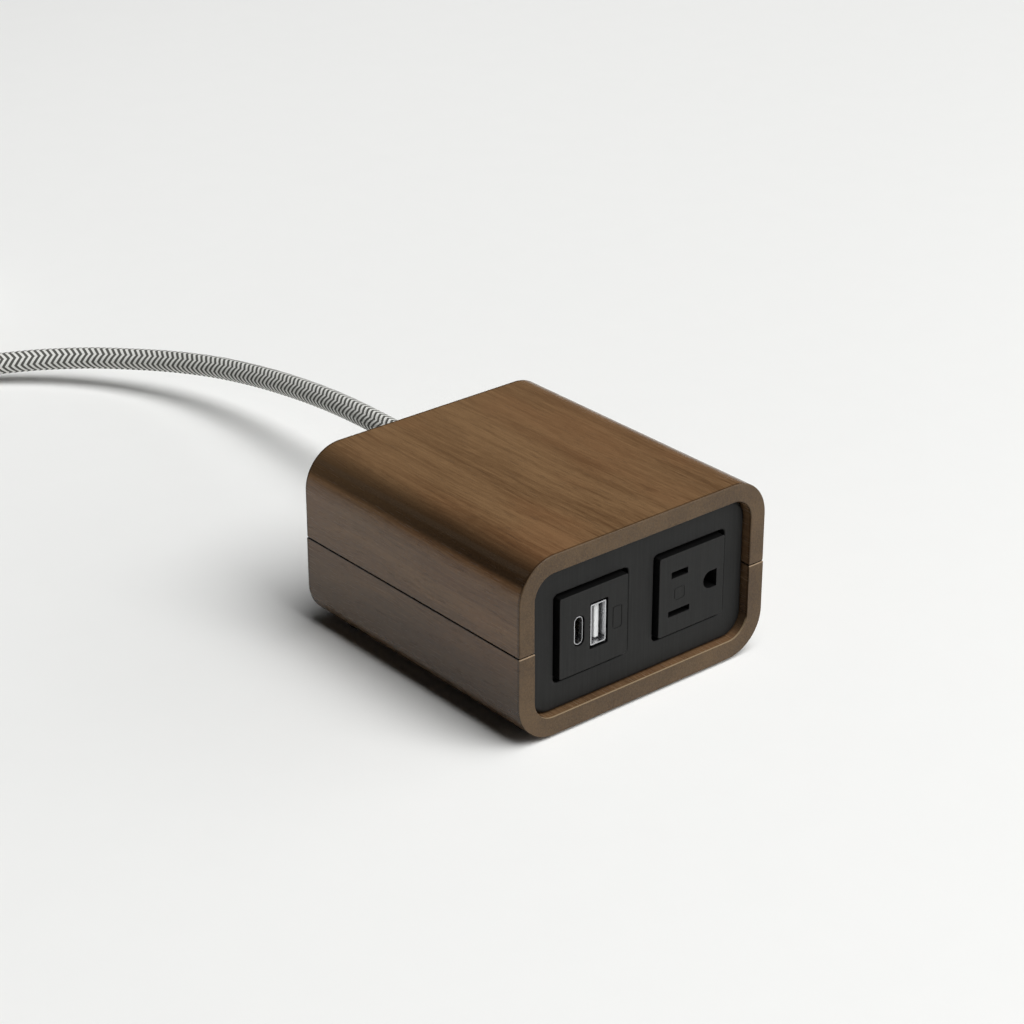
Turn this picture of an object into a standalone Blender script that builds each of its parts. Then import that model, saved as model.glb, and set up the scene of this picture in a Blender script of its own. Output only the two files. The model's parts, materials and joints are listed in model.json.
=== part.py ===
"""Desktop power hub: a walnut case in two half shells round a black core that holds one
grounded outlet, a USB-A port and a USB-C port, fed by a braided mains lead.

Frame: metres, +Z up, +X to the right and -Y towards the user who faces the sockets.
The origin is on the table, under the middle of the case.
"""
import math

import bmesh
import bpy
from mathutils import Euler, Matrix, Vector

# ---------------------------------------------------------------- driving sizes (metres)
WIDTH = 0.0965
DEPTH = 0.1015
WOOD_HEIGHT = 0.0584
FOOT_HEIGHT = 0.0010
WALL = 0.0058
OUTER_RADIUS = 0.0132
INNER_RADIUS = 0.0075
GAP = 0.0003
EDGE_BREAK = 0.0004

BOTTOM = FOOT_HEIGHT
TOP = BOTTOM + WOOD_HEIGHT
MIDDLE = BOTTOM + WOOD_HEIGHT / 2
FRONT = -DEPTH / 2
BACK = DEPTH / 2
INNER_HALF_WIDTH = WIDTH / 2 - WALL
FLOOR_INSIDE = BOTTOM + WALL

PLATE_RECESS = 0.0027
PLATE_THICKNESS = 0.0025
PLATE_FRONT = FRONT + PLATE_RECESS
PLATE_BACK = PLATE_FRONT + PLATE_THICKNESS
PLATE_ROUNDING = 0.0006
REAR_PLATE_OUT = BACK - PLATE_RECESS
WINDOW = 0.0286

INSERT_SIDE = 0.0262
INSERT_RECESS = 0.00135
INSERT_FRONT = FRONT + INSERT_RECESS
INSERT_BACK = FRONT + 0.0074
FLANGE_SIDE = 0.0304
FLANGE_THICKNESS = 0.0018
USB_INSERT_X = -0.0189
OUTLET_INSERT_X = 0.0198

# the outlet's own pattern: two flat slots 12.7 mm apart and a ground hole beside them
BLADE_X = 0.0148
BLADE_SPACING = 0.0127
HOT_SLOT = (0.0066, 0.0021)
NEUTRAL_SLOT = (0.0085, 0.0019)
GROUND_X = 0.02745
GROUND_RADIUS = 0.00285
GROUND_FLAT = 0.00255
HOT_Z = MIDDLE + BLADE_SPACING / 2
NEUTRAL_Z = MIDDLE - BLADE_SPACING / 2

SHUTTER_TRAVEL = 0.0030
SHUTTER_SIZE = (0.0128, 0.0015, 0.0203)
SHUTTER_BOTTOM = 0.0220
SHUTTER_Y = -0.0417
POCKET_BOTTOM = 0.0168
POCKET_HEIGHT = 0.0260
POCKET_DEPTH = 0.0029
SHUTTER_PASS = (0.0092, 0.0026)
SPRING_TURNS = 3.5
SPRING_RADIUS = 0.0008
SPRING_WIRE = 0.00036

# the moulded body behind the outlet's face, its cavities and the brass clips in them
OUTLET_BODY = (0.0300, 0.0210, 0.0302)
CAVITY_BACK_WALL = 0.0030
BLADE_CAVITY = (0.0110, 0.0064)
GROUND_CAVITY = (0.0070, 0.0070)
WIRE_HOLE_RADIUS = 0.0016
CLIP_SET_BACK = 0.00255
CLIP_LEAF = 0.0006
CLIP_FLARE = 0.0006
CLIP_LEAD_IN = 0.0014
CLIP_WEB = 0.0008

USB_C_X = -0.0246
USB_A_X = -0.0170
USB_Z = MIDDLE + 0.0006
USB_C_OPENING = (0.0040, 0.0098)
USB_A_OPENING = (0.0070, 0.0150)
USB_C_SIZE = (0.0033, 0.0091)
USB_C_CORNER = 0.0016
USB_C_WALL = 0.0003
USB_C_MOUTH = INSERT_FRONT + 0.0013
USB_C_LENGTH = 0.0095
USB_C_TONGUE = (0.0007, 0.0066, 0.0012, 0.0068)
USB_A_SIZE = (0.0059, 0.0133)
USB_A_CORNER = 0.0004
USB_A_WALL = 0.0004
USB_A_MOUTH = INSERT_FRONT + 0.0019
USB_A_LENGTH = 0.0135
USB_A_TONGUE_X = USB_A_X + 0.0009
USB_A_TONGUE = (0.0019, 0.0114, 0.0002, 0.0118)
BOARD_X = -0.0215
BOARD_THICKNESS = 0.0016
BOARD_FRONT = -0.0345
BOARD_BACK = 0.0240
BOARD_BOTTOM = FLOOR_INSIDE + GAP + 0.0028
BOARD_TOP = 0.0500

CASE_SCREWS = [(x, y) for x in (-0.030, 0.030) for y in (-0.030, 0.030)]
FEET = [(x, y) for x in (-0.034, 0.034) for y in (-0.0405, 0.0405)]
UPRIGHT_X = 0.0338
REAR_SCREWS = [(x, z) for x in (-UPRIGHT_X, UPRIGHT_X) for z in (0.0135, 0.0469)]
TRAY_WIDTH = 0.0700
TRAY_DEPTH = 0.0860
TRAY_CORNER = 0.0040
TRAY_FLOOR = 0.0020
POST_RADIUS = 0.0040
POST_TOP = 0.0145
UPRIGHT_HALF = 0.0034
UPRIGHT_DEPTH = 0.0063
UPRIGHT_TOP = 0.0518
RAIL_PLACES = (-0.018, 0.016)
RAIL_HALF = 0.0031
RAIL_TOP = 0.0160
SCREW_RADIUS = 0.0015
SCREW_HEAD_HEIGHT = 0.0020
CASE_SCREW_LENGTH = 0.0120
REAR_SCREW_LENGTH = 0.0110
SCREW_BORE = 0.0018
HEAD_BORE = 0.0034
HEAD_BORE_DEPTH = 0.0026
FOOT_RADIUS = 0.0060
FOOT_RECESS = 0.0010
DOWEL_RADIUS = 0.0015
DOWEL_LENGTH = 0.0140
DOWELS = [(x, y) for x in (-0.04535, 0.04535) for y in (-0.030, 0.030)]

# the mains lead: where it leaves the case, and how it lies on the table
CORD_DIAMETER = 0.0080
CORD_X = 0.0205
RELIEF_END = BACK + 0.0284
RELIEF_NECK = 0.0065
RELIEF_RIBS = 6
LEAD_ROUTE = [
    (0.0205, 0.0794, 0.0302), (0.0207, 0.0920, 0.0301), (0.0216, 0.1060, 0.0295),
    (0.0230, 0.1220, 0.0283), (0.0244, 0.1400, 0.0264), (0.0253, 0.1600, 0.0238),
    (0.0254, 0.1800, 0.0209), (0.0236, 0.2000, 0.0181), (0.0200, 0.2160, 0.0159),
    (0.0150, 0.2300, 0.0140), (0.0086, 0.2425, 0.0124), (0.0012, 0.2540, 0.0111),
    (-0.0070, 0.2638, 0.0099), (-0.0160, 0.2726, 0.0087), (-0.0265, 0.2815, 0.0072),
    (-0.0380, 0.2915, 0.0056), (-0.0500, 0.3030, 0.0046), (-0.0615, 0.3160, 0.0042),
    (-0.0714, 0.3300, 0.0042), (-0.0772, 0.3405, 0.0042),
]
COIL_CENTRE = (-0.0370, 0.3840)
COIL_MIDDLE_RADIUS = 0.0421
COIL_HALF_WIDTH = 0.0124
COIL_BASE = 0.0003
COIL_TOP = 0.0169
COIL_CORNER = 0.0036
TIE_ANGLE = math.radians(150)
TIE_WIDTH = 0.0100
TIE_THICKNESS = 0.0010
TIE_BASE = 0.0002
TIE_SLACK = 0.0018
TIE_CORNER = 0.0024

# the plug lies across the top of the coil, turned to point back along the table
PLUG_Z = 0.0297
PLUG_TURN = math.radians(135)
PLUG_OFFSET = 0.0280
PLUG_AXIS_ANGLE = math.radians(-45)
SLEEVE_START = -0.0170
SLEEVE_LENGTH = 0.0140
PLUG_BODY_LENGTH = 0.0350
PLUG_HALF = (0.0130, 0.0122)
PLUG_NECK_HALF = 0.0072
PLUG_TAPER = 0.0117
PLUG_ROUNDING = 0.0024
PIN_THICKNESS = 0.0015
PIN_LENGTH = 0.0180
PIN_ROOT = 0.0060
PIN_LOW = -0.0072
PIN_HIGH = -0.00085
GROUND_PIN_RADIUS = 0.00238
GROUND_PIN_LENGTH = 0.0200
GROUND_PIN_ROOT = 0.0050
GROUND_PIN_Z = 0.0078
TAIL_ROUTE = [
    (-0.00325, 0.42081, 0.02220), (0.00250, 0.41085, 0.02510), (0.00449, 0.39956, 0.02760),
    (0.00209, 0.38720, 0.02920), (-0.00462, 0.37678, 0.02970),
]

# ---------------------------------------------------------------- colours and finishes
WALNUT = ("walnut", (0.17, 0.09, 0.05), 0.45, 0.0)
BLACK_PLASTIC = ("black_plastic", (0.030, 0.030, 0.029), 0.55, 0.0)
DARK_NYLON = ("dark_nylon", (0.05, 0.05, 0.05), 0.60, 0.0)
LIGHT_PLASTIC = ("light_plastic", (0.75, 0.76, 0.76), 0.45, 0.0)
STEEL = ("steel", (0.55, 0.55, 0.56), 0.30, 1.0)
BRASS = ("brass", (0.72, 0.52, 0.22), 0.32, 1.0)
RUBBER = ("rubber", (0.025, 0.025, 0.025), 0.85, 0.0)
BEECH = ("beech", (0.55, 0.38, 0.22), 0.60, 0.0)
BOARD_GREEN = ("board_green", (0.02, 0.13, 0.06), 0.40, 0.0)
FERRITE = ("ferrite", (0.06, 0.06, 0.065), 0.70, 0.0)
TAPE = ("winding_tape", (0.80, 0.58, 0.10), 0.40, 0.0)
COPPER = ("copper", (0.72, 0.36, 0.20), 0.35, 1.0)
CAN = ("capacitor_sleeve", (0.04, 0.05, 0.12), 0.35, 0.0)
BRAID = ("braid", (0.42, 0.42, 0.40), 0.90, 0.0)
BLACK_WIRE = ("black_wire", (0.02, 0.02, 0.02), 0.45, 0.0)
WHITE_WIRE = ("white_wire", (0.80, 0.80, 0.78), 0.45, 0.0)
GREEN_WIRE = ("green_wire", (0.03, 0.30, 0.10), 0.45, 0.0)


def clear_scene():
    for thing in list(bpy.data.objects):
        bpy.data.objects.remove(thing, do_unlink=True)


def new_collection(name):
    collection = bpy.data.collections.new(name)
    bpy.context.scene.collection.children.link(collection)
    return collection


clear_scene()
PARTS = new_collection("desktop_power_hub")
CUTTERS = new_collection("cutters")


def finish(name, look):
    """One Principled material for one piece."""
    kind, colour, roughness, metallic = look
    material = bpy.data.materials.new(f"{name}_{kind}")
    material.use_nodes = True
    shader = material.node_tree.nodes["Principled BSDF"]
    shader.inputs["Base Color"].default_value = (*colour, 1.0)
    shader.inputs["Roughness"].default_value = roughness
    shader.inputs["Metallic"].default_value = metallic
    return material


def place(name, mesh, look):
    """Put a mesh in the scene as a part, or as a hidden cutter when it has no look."""
    thing = bpy.data.objects.new(name, mesh)
    if look is None:
        thing.hide_render = True
        thing.display_type = "WIRE"
        CUTTERS.objects.link(thing)
    else:
        mesh.materials.append(finish(name, look))
        PARTS.objects.link(thing)
    return thing


def block(name, low, high, look=None):
    """A box between two corners, its object's origin at its middle."""
    low, high = Vector(low), Vector(high)
    form = bmesh.new()
    bmesh.ops.create_cube(form, size=1.0, matrix=Matrix.Diagonal((*(high - low), 1.0)))
    mesh = bpy.data.meshes.new(name)
    form.to_mesh(mesh)
    form.free()
    thing = place(name, mesh, look)
    thing.location = (low + high) / 2
    return thing


def rod(name, radius, length, centre, axis="Z", look=None, sides=16, far_radius=None):
    """A round bar, or a cone when its far end has another radius."""
    form = bmesh.new()
    bmesh.ops.create_cone(
        form, cap_ends=True, segments=sides, radius1=radius,
        radius2=radius if far_radius is None else far_radius, depth=length,
    )
    mesh = bpy.data.meshes.new(name)
    form.to_mesh(mesh)
    form.free()
    thing = place(name, mesh, look)
    thing.location = centre
    thing.rotation_euler = {"X": (0, math.pi / 2, 0), "Y": (-math.pi / 2, 0, 0), "Z": (0, 0, 0)}[axis]
    smooth(thing)
    return thing


def smooth(thing):
    thing.data.shade_smooth()
    thing.data.set_sharp_from_angle(angle=math.radians(35))


def turned(name, profile, centre, turn, look, steps=24):
    """A turned piece: (radius, height) pairs from top to bottom, closed on its own axis."""
    mesh = bpy.data.meshes.new(name)
    mesh.from_pydata([(r, 0, z) for r, z in profile], [(i, i + 1) for i in range(len(profile) - 1)], [])
    thing = place(name, mesh, look)
    thing.location = centre
    thing.rotation_euler = turn
    screw = thing.modifiers.new("turn", "SCREW")
    screw.steps = steps
    screw.render_steps = steps
    screw.use_merge_vertices = True
    screw.merge_threshold = 0.00002
    screw.use_smooth_shade = True
    return thing


def rounded_rectangle(width, height, radius, per_corner=6):
    """Points of a rectangle with round corners, counter-clockwise from the lower right."""
    points = []
    corners = [(1, -1, -90), (1, 1, 0), (-1, 1, 90), (-1, -1, 180)]
    for right, up, start in corners:
        centre_x = right * (width / 2 - radius)
        centre_y = up * (height / 2 - radius)
        for i in range(per_corner + 1):
            angle = math.radians(start + 90 * i / per_corner)
            points.append((centre_x + radius * math.cos(angle), centre_y + radius * math.sin(angle)))
    return points


def extruded(name, outlines, thickness, centre, turn, look=None):
    """A flat outline given thickness. A second outline inside the first is a hole."""
    curve = bpy.data.curves.new(name, "CURVE")
    curve.dimensions = "2D"
    curve.fill_mode = "BOTH"
    curve.extrude = thickness / 2
    for outline in outlines:
        spline = curve.splines.new("POLY")
        spline.points.add(len(outline) - 1)
        for point, (x, y) in zip(spline.points, outline):
            point.co = (x, y, 0, 1)
        spline.use_cyclic_u = True
    drawn = bpy.data.objects.new(name + "_outline", curve)
    bpy.context.scene.collection.objects.link(drawn)
    drawn.location = centre
    drawn.rotation_euler = turn
    return as_mesh(name, drawn, look)


def as_mesh(name, drawn, look):
    """Turn a curve object into a welded mesh part at the same place."""
    bpy.context.view_layer.update()
    evaluated = drawn.evaluated_get(bpy.context.evaluated_depsgraph_get())
    mesh = bpy.data.meshes.new_from_object(evaluated)
    mesh.name = name
    form = bmesh.new()
    form.from_mesh(mesh)
    bmesh.ops.remove_doubles(form, verts=form.verts, dist=0.000005)
    form.to_mesh(mesh)
    form.free()
    mesh.materials.clear()
    thing = place(name, mesh, look)
    thing.matrix_world = drawn.matrix_world.copy()
    bpy.data.objects.remove(drawn, do_unlink=True)
    return thing


def smooth_route(points, spacing):
    """Evenly spaced points on a smooth curve through the given ones."""
    points = [Vector(p) for p in points]
    ends = [2 * points[0] - points[1], *points, 2 * points[-1] - points[-2]]
    fine = []
    for before, start, stop, after in zip(ends, ends[1:], ends[2:], ends[3:]):
        for i in range(20):
            t = i / 20
            fine.append(0.5 * (
                2 * start + (stop - before) * t
                + (2 * before - 5 * start + 4 * stop - after) * t ** 2
                + (3 * start - before - 3 * stop + after) * t ** 3
            ))
    fine.append(points[-1])
    travelled = [0.0]
    for a, b in zip(fine, fine[1:]):
        travelled.append(travelled[-1] + (b - a).length)
    count = max(2, round(travelled[-1] / spacing))
    even = []
    for k in range(count + 1):
        wanted = travelled[-1] * k / count
        i = next(j for j in range(1, len(fine)) if travelled[j] >= wanted - 1e-9)
        share = (wanted - travelled[i - 1]) / (travelled[i] - travelled[i - 1])
        even.append(fine[i - 1].lerp(fine[i], share))
    return even


def tube(name, points, diameter, look, resolution=2):
    """A round tube with closed ends along a line of points."""
    curve = bpy.data.curves.new(name, "CURVE")
    curve.dimensions = "3D"
    curve.bevel_depth = diameter / 2
    curve.bevel_resolution = resolution
    curve.use_fill_caps = True
    spline = curve.splines.new("POLY")
    spline.points.add(len(points) - 1)
    for point, place_at in zip(spline.points, points):
        point.co = (*place_at, 1)
    curve.materials.append(finish(name, look))
    thing = bpy.data.objects.new(name, curve)
    PARTS.objects.link(thing)
    return thing


def boolean(thing, other, operation):
    modifier = thing.modifiers.new(other.name, "BOOLEAN")
    modifier.operation = operation
    modifier.object = other
    modifier.solver = "EXACT"


def cut(thing, *cutters):
    for cutter in cutters:
        boolean(thing, cutter, "DIFFERENCE")


def join(thing, *others):
    for other in others:
        boolean(thing, other, "UNION")


def round_edges(thing, width, segments=2, angle=40):
    """Break the edges; the width is a real one because nothing here is scaled."""
    bevel = thing.modifiers.new("edges", "BEVEL")
    bevel.width = width
    bevel.segments = segments
    bevel.limit_method = "ANGLE"
    bevel.angle_limit = math.radians(angle)
    smooth(thing)


FACING_FRONT = (math.pi / 2, 0, 0)


def half_shell_outline(up):
    """The C of one half shell, seen from the front; up is 1 for the upper half."""
    outer = rounded_rectangle(WIDTH, WOOD_HEIGHT, OUTER_RADIUS, 10)
    inner = rounded_rectangle(WIDTH - 2 * WALL, WOOD_HEIGHT - 2 * WALL, INNER_RADIUS, 6)
    seam = up * GAP / 2
    upper_outer = [p for p in outer if p[1] > 0]
    upper_inner = [p for p in inner if p[1] > 0]
    outline = [(WIDTH / 2, abs(seam)), *upper_outer, (-WIDTH / 2, abs(seam))]
    outline += [(-INNER_HALF_WIDTH, abs(seam)), *reversed(upper_inner), (INNER_HALF_WIDTH, abs(seam))]
    if up < 0:
        outline = [(x, -y) for x, y in reversed(outline)]
    return outline


def make_shells():
    """Two walnut half shells that meet on a seam at mid height, pinned by blind dowels."""
    shells = {}
    for name, up in (("upper_shell", 1), ("lower_shell", -1)):
        shell = extruded(name, [half_shell_outline(up)], DEPTH, (0, 0, MIDDLE), FACING_FRONT, WALNUT)
        round_edges(shell, EDGE_BREAK, 1)
        shells[name] = shell
    for i, (x, y) in enumerate(DOWELS, 1):
        hole = rod(f"dowel_hole_{i}", DOWEL_RADIUS + GAP, DOWEL_LENGTH + 2 * GAP, (x, y, MIDDLE))
        cut(shells["upper_shell"], hole)
        cut(shells["lower_shell"], hole)
        rod(f"dowel_{i}", DOWEL_RADIUS, DOWEL_LENGTH, (x, y, MIDDLE), look=BEECH, sides=12)
    for i, (x, y) in enumerate(FEET, 1):
        recess = rod(f"foot_recess_{i}", FOOT_RADIUS + GAP, 2 * FOOT_RECESS, (x, y, BOTTOM), sides=24)
        cut(shells["lower_shell"], recess)
        make_foot(f"foot_{i}", x, y)
    for i, (x, y) in enumerate(CASE_SCREWS, 1):
        counterbore = rod(f"head_bore_{i}", HEAD_BORE, 2 * HEAD_BORE_DEPTH, (x, y, BOTTOM), sides=20)
        clearance = rod(f"screw_bore_{i}", SCREW_BORE, 0.0200, (x, y, BOTTOM), sides=12)
        cut(shells["lower_shell"], counterbore, clearance)
        make_screw(f"case_screw_{i}", (x, y, BOTTOM + GAP), (math.pi, 0, 0), CASE_SCREW_LENGTH)


def make_foot(name, x, y):
    """A soft rubber disc, glued into its recess, with a rounded lower edge."""
    top = FOOT_HEIGHT + FOOT_RECESS - GAP
    profile = [(0, top), (FOOT_RADIUS, top), (FOOT_RADIUS, 0.0004), (FOOT_RADIUS - 0.0004, 0), (0, 0)]
    turned(name, profile, (x, y, 0), (0, 0, 0), RUBBER)


def make_screw(name, head_face, turn, length):
    """A pan head screw with a cross recess; its local +Z points out of the head."""
    profile = [
        (0, 0), (0.0018, 0), (0.0026, -0.0006), (0.0028, -SCREW_HEAD_HEIGHT),
        (SCREW_RADIUS, -SCREW_HEAD_HEIGHT), (SCREW_RADIUS, -length + 0.001), (0.0007, -length), (0, -length),
    ]
    screw = turned(name, profile, head_face, turn, STEEL, 12)
    for i, (long, wide) in enumerate(((0.0030, 0.0006), (0.0006, 0.0030)), 1):
        recess = block(f"{name}_recess_{i}", (-long / 2, -wide / 2, -0.001), (long / 2, wide / 2, 0.001))
        recess.matrix_world = Matrix.Translation(head_face) @ Euler(turn).to_matrix().to_4x4()
        cut(screw, recess)


def plate_outline():
    """The outline of the front and rear plates, a gap smaller than the case's hollow."""
    return rounded_rectangle(2 * (INNER_HALF_WIDTH - GAP), WOOD_HEIGHT - 2 * (WALL + GAP), INNER_RADIUS, 6)


def make_front_plate():
    """The recessed black face, with a square window for each insert."""
    outer = plate_outline()
    centre = (0, (PLATE_FRONT + PLATE_BACK) / 2, MIDDLE)
    plate = extruded("front_plate", [outer], PLATE_THICKNESS, centre, FACING_FRONT, BLACK_PLASTIC)
    for name, x in (("usb_window", USB_INSERT_X), ("outlet_window", OUTLET_INSERT_X)):
        window = extruded(
            name, [rounded_rectangle(WINDOW, WINDOW, 0.0015, 4)], 0.01, (x, centre[1], MIDDLE), FACING_FRONT
        )
        cut(plate, window)
    round_edges(plate, PLATE_ROUNDING, 2)


def make_rear_plate():
    """The recessed black back, screwed to the tray, with the hole for the mains lead."""
    outer = plate_outline()
    centre = (0, REAR_PLATE_OUT - PLATE_THICKNESS / 2, MIDDLE)
    plate = extruded("rear_plate", [outer], PLATE_THICKNESS, centre, FACING_FRONT, BLACK_PLASTIC)
    cut(plate, rod("cord_hole", RELIEF_NECK + GAP, 0.01, (CORD_X, centre[1], MIDDLE), "Y", sides=24))
    head_face = REAR_PLATE_OUT + SCREW_HEAD_HEIGHT + GAP
    for i, (x, z) in enumerate(REAR_SCREWS, 1):
        cut(plate, rod(f"rear_screw_hole_{i}", SCREW_BORE, 0.01, (x, centre[1], z), "Y", sides=12))
        make_screw(f"rear_screw_{i}", (x, head_face, z), (-math.pi / 2, 0, 0), REAR_SCREW_LENGTH)


def make_tray():
    """The black tray inside the lower shell: floor, screw posts, rear uprights, board rails."""
    base = FLOOR_INSIDE + GAP
    rooted = base + 0.0005
    floor_outline = rounded_rectangle(TRAY_WIDTH, TRAY_DEPTH, TRAY_CORNER, 3)
    tray = extruded(
        "tray", [floor_outline], TRAY_FLOOR, (0, 0, base + TRAY_FLOOR / 2), (0, 0, 0), DARK_NYLON
    )
    for i, (x, y) in enumerate(CASE_SCREWS, 1):
        height = POST_TOP - rooted
        join(tray, rod(f"post_{i}", POST_RADIUS, height, (x, y, rooted + height / 2)))
    upright_back = REAR_PLATE_OUT - PLATE_THICKNESS - 0.00065
    for i, x in enumerate((-UPRIGHT_X, UPRIGHT_X), 1):
        join(tray, block(
            f"upright_{i}", (x - UPRIGHT_HALF, upright_back - UPRIGHT_DEPTH, rooted),
            (x + UPRIGHT_HALF, upright_back, UPRIGHT_TOP),
        ))
    for i, y in enumerate(RAIL_PLACES, 1):
        join(tray, block(
            f"rail_{i}", (BOARD_X - RAIL_HALF, y - RAIL_HALF, rooted),
            (BOARD_X + RAIL_HALF, y + RAIL_HALF, RAIL_TOP),
        ))
    for i, (x, y) in enumerate(CASE_SCREWS, 1):
        cut(tray, rod(f"post_bore_{i}", SCREW_BORE, 0.0300, (x, y, rooted), sides=12))
    for i, (x, z) in enumerate(REAR_SCREWS, 1):
        cut(tray, rod(f"upright_bore_{i}", SCREW_BORE, 0.0240, (x, upright_back, z), "Y", sides=12))
    half = BOARD_THICKNESS / 2 + GAP
    cut(tray, block(
        "board_slot", (BOARD_X - half, FRONT, BOARD_BOTTOM - GAP), (BOARD_X + half, BACK, MIDDLE)
    ))


def insert_block(name, x):
    """A square insert that stands proud of the plate, with its flange behind it."""
    centre_y = (INSERT_FRONT + INSERT_BACK) / 2
    face = extruded(
        name, [rounded_rectangle(INSERT_SIDE, INSERT_SIDE, 0.0006, 2)], INSERT_BACK - INSERT_FRONT,
        (x, centre_y, MIDDLE), FACING_FRONT, BLACK_PLASTIC,
    )
    half = FLANGE_SIDE / 2
    flange = block(
        f"{name}_flange", (x - half, INSERT_BACK - FLANGE_THICKNESS, MIDDLE - half),
        (x + half, INSERT_BACK, MIDDLE + half),
    )
    join(face, flange)
    return face


def d_outline(radius, flat):
    """The ground hole: a half circle on the left, square on the right."""
    arc = [
        (radius * math.cos(math.radians(a)), radius * math.sin(math.radians(a)))
        for a in range(90, 271, 15)
    ]
    return [*arc, (flat, -radius), (flat, radius)]


def make_outlet():
    """The outlet: its face, the body that holds the contacts, and the sliding shutter."""
    face = insert_block("outlet_face", OUTLET_INSERT_X)
    through = 0.03
    for name, (wide, high), z in (("hot", HOT_SLOT, HOT_Z), ("neutral", NEUTRAL_SLOT, NEUTRAL_Z)):
        cut(face, block(
            f"{name}_slot", (BLADE_X - wide / 2, FRONT - through / 2, z - high / 2),
            (BLADE_X + wide / 2, FRONT + through / 2, z + high / 2),
        ))
    cut(face, extruded(
        "ground_hole", [d_outline(GROUND_RADIUS, GROUND_FLAT)], through, (GROUND_X, FRONT, MIDDLE),
        FACING_FRONT,
    ))

    body_front = INSERT_BACK + GAP
    wide, deep, high = OUTLET_BODY
    body_back = body_front + deep
    body = block(
        "outlet_body", (OUTLET_INSERT_X - wide / 2, body_front, MIDDLE - high / 2),
        (OUTLET_INSERT_X + wide / 2, body_back, MIDDLE + high / 2), BLACK_PLASTIC,
    )
    left = BLADE_X - SHUTTER_SIZE[0] / 2 - GAP
    right = BLADE_X + SHUTTER_SIZE[0] / 2 + GAP
    cut(body, block(
        "shutter_pocket", (left, FRONT, POCKET_BOTTOM),
        (right, body_front + POCKET_DEPTH, POCKET_BOTTOM + POCKET_HEIGHT),
    ))
    cavities = (
        ("hot", BLADE_X, HOT_Z, BLADE_CAVITY),
        ("neutral", BLADE_X, NEUTRAL_Z, BLADE_CAVITY),
        ("ground", GROUND_X, MIDDLE, GROUND_CAVITY),
    )
    for name, x, z, (wide, high) in cavities:
        cut(body, block(
            f"{name}_cavity", (x - wide / 2, FRONT, z - high / 2),
            (x + wide / 2, body_back - CAVITY_BACK_WALL, z + high / 2),
        ))
        wire_hole = rod(f"{name}_wire_hole", WIRE_HOLE_RADIUS, 0.02, (x, body_back, z), "Y", sides=12)
        cut(body, wire_hole)
    round_edges(body, 0.0005, 1)
    make_contact("hot_contact", BLADE_X, HOT_Z, 0.0080, 0.0013, body_back)
    make_contact("neutral_contact", BLADE_X, NEUTRAL_Z, 0.0080, 0.0013, body_back)
    make_contact("ground_contact", GROUND_X, MIDDLE, 0.0045, 0.0046, body_back)
    make_shutter()


def make_contact(name, x, z, wide, mouth, body_back):
    """A brass clip: two leaves that grip the plug's blade, flared at the mouth."""
    front = SHUTTER_Y + CLIP_SET_BACK
    rear = body_back - CAVITY_BACK_WALL - GAP
    half = mouth / 2
    inside = [(front, half + CLIP_FLARE), (front + CLIP_LEAD_IN, half), (rear - CLIP_WEB, half)]
    outside = [
        (rear, half + CLIP_LEAF), (front + CLIP_LEAD_IN, half + CLIP_LEAF),
        (front, half + CLIP_LEAF + CLIP_FLARE),
    ]
    outline = [*inside, *[(along, -up) for along, up in reversed(inside)]]
    outline += [(along, -up) for along, up in reversed(outside)] + outside
    extruded(name, [outline], wide, (x, 0, z), (math.pi / 2, 0, math.pi / 2), BRASS)


def make_shutter():
    """The tamper shutter covers both slots; a plug pushes it down against its spring."""
    width, thickness, height = SHUTTER_SIZE
    low = (BLADE_X - width / 2, SHUTTER_Y - thickness / 2, SHUTTER_BOTTOM)
    high = (BLADE_X + width / 2, SHUTTER_Y + thickness / 2, SHUTTER_BOTTOM + height)
    shutter = block("tamper_shutter", low, high, BLACK_PLASTIC)
    for name, z in (("upper_pass", HOT_Z), ("lower_pass", NEUTRAL_Z)):
        opening = z + SHUTTER_TRAVEL
        pass_wide, pass_high = SHUTTER_PASS
        cut(shutter, block(
            name, (BLADE_X - pass_wide / 2, FRONT, opening - pass_high / 2),
            (BLADE_X + pass_wide / 2, 0, opening + pass_high / 2),
        ))
    start = POCKET_BOTTOM + GAP + SPRING_WIRE / 2
    stop = SHUTTER_BOTTOM - GAP - SPRING_WIRE / 2
    steps = 42
    coil = []
    for i in range(steps + 1):
        angle = 2 * math.pi * SPRING_TURNS * i / steps
        coil.append((
            BLADE_X + SPRING_RADIUS * math.cos(angle), SHUTTER_Y + SPRING_RADIUS * math.sin(angle),
            start + (stop - start) * i / steps,
        ))
    tube("shutter_spring", coil, SPRING_WIRE, STEEL, 1)


def make_usb():
    """The two charging ports, their insert, and the charger board behind them."""
    face = insert_block("usb_face", USB_INSERT_X)
    usb_c_outline = rounded_rectangle(*USB_C_OPENING, 0.0019, 5)
    usb_a_outline = rounded_rectangle(*USB_A_OPENING, 0.0004, 2)
    cut(face, extruded("usb_c_cutout", [usb_c_outline], 0.03, (USB_C_X, FRONT, USB_Z), FACING_FRONT))
    cut(face, extruded("usb_a_cutout", [usb_a_outline], 0.03, (USB_A_X, FRONT, USB_Z), FACING_FRONT))
    make_port("usb_c_shell", USB_C_X, USB_C_SIZE, USB_C_CORNER, USB_C_WALL, USB_C_MOUTH, USB_C_LENGTH)
    make_port("usb_a_shell", USB_A_X, USB_A_SIZE, USB_A_CORNER, USB_A_WALL, USB_A_MOUTH, USB_A_LENGTH)
    make_tongue("usb_c_tongue", USB_C_X, USB_C_TONGUE, USB_C_MOUTH, BLACK_PLASTIC)
    make_tongue("usb_a_tongue", USB_A_TONGUE_X, USB_A_TONGUE, USB_A_MOUTH, LIGHT_PLASTIC)
    make_charger()


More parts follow.
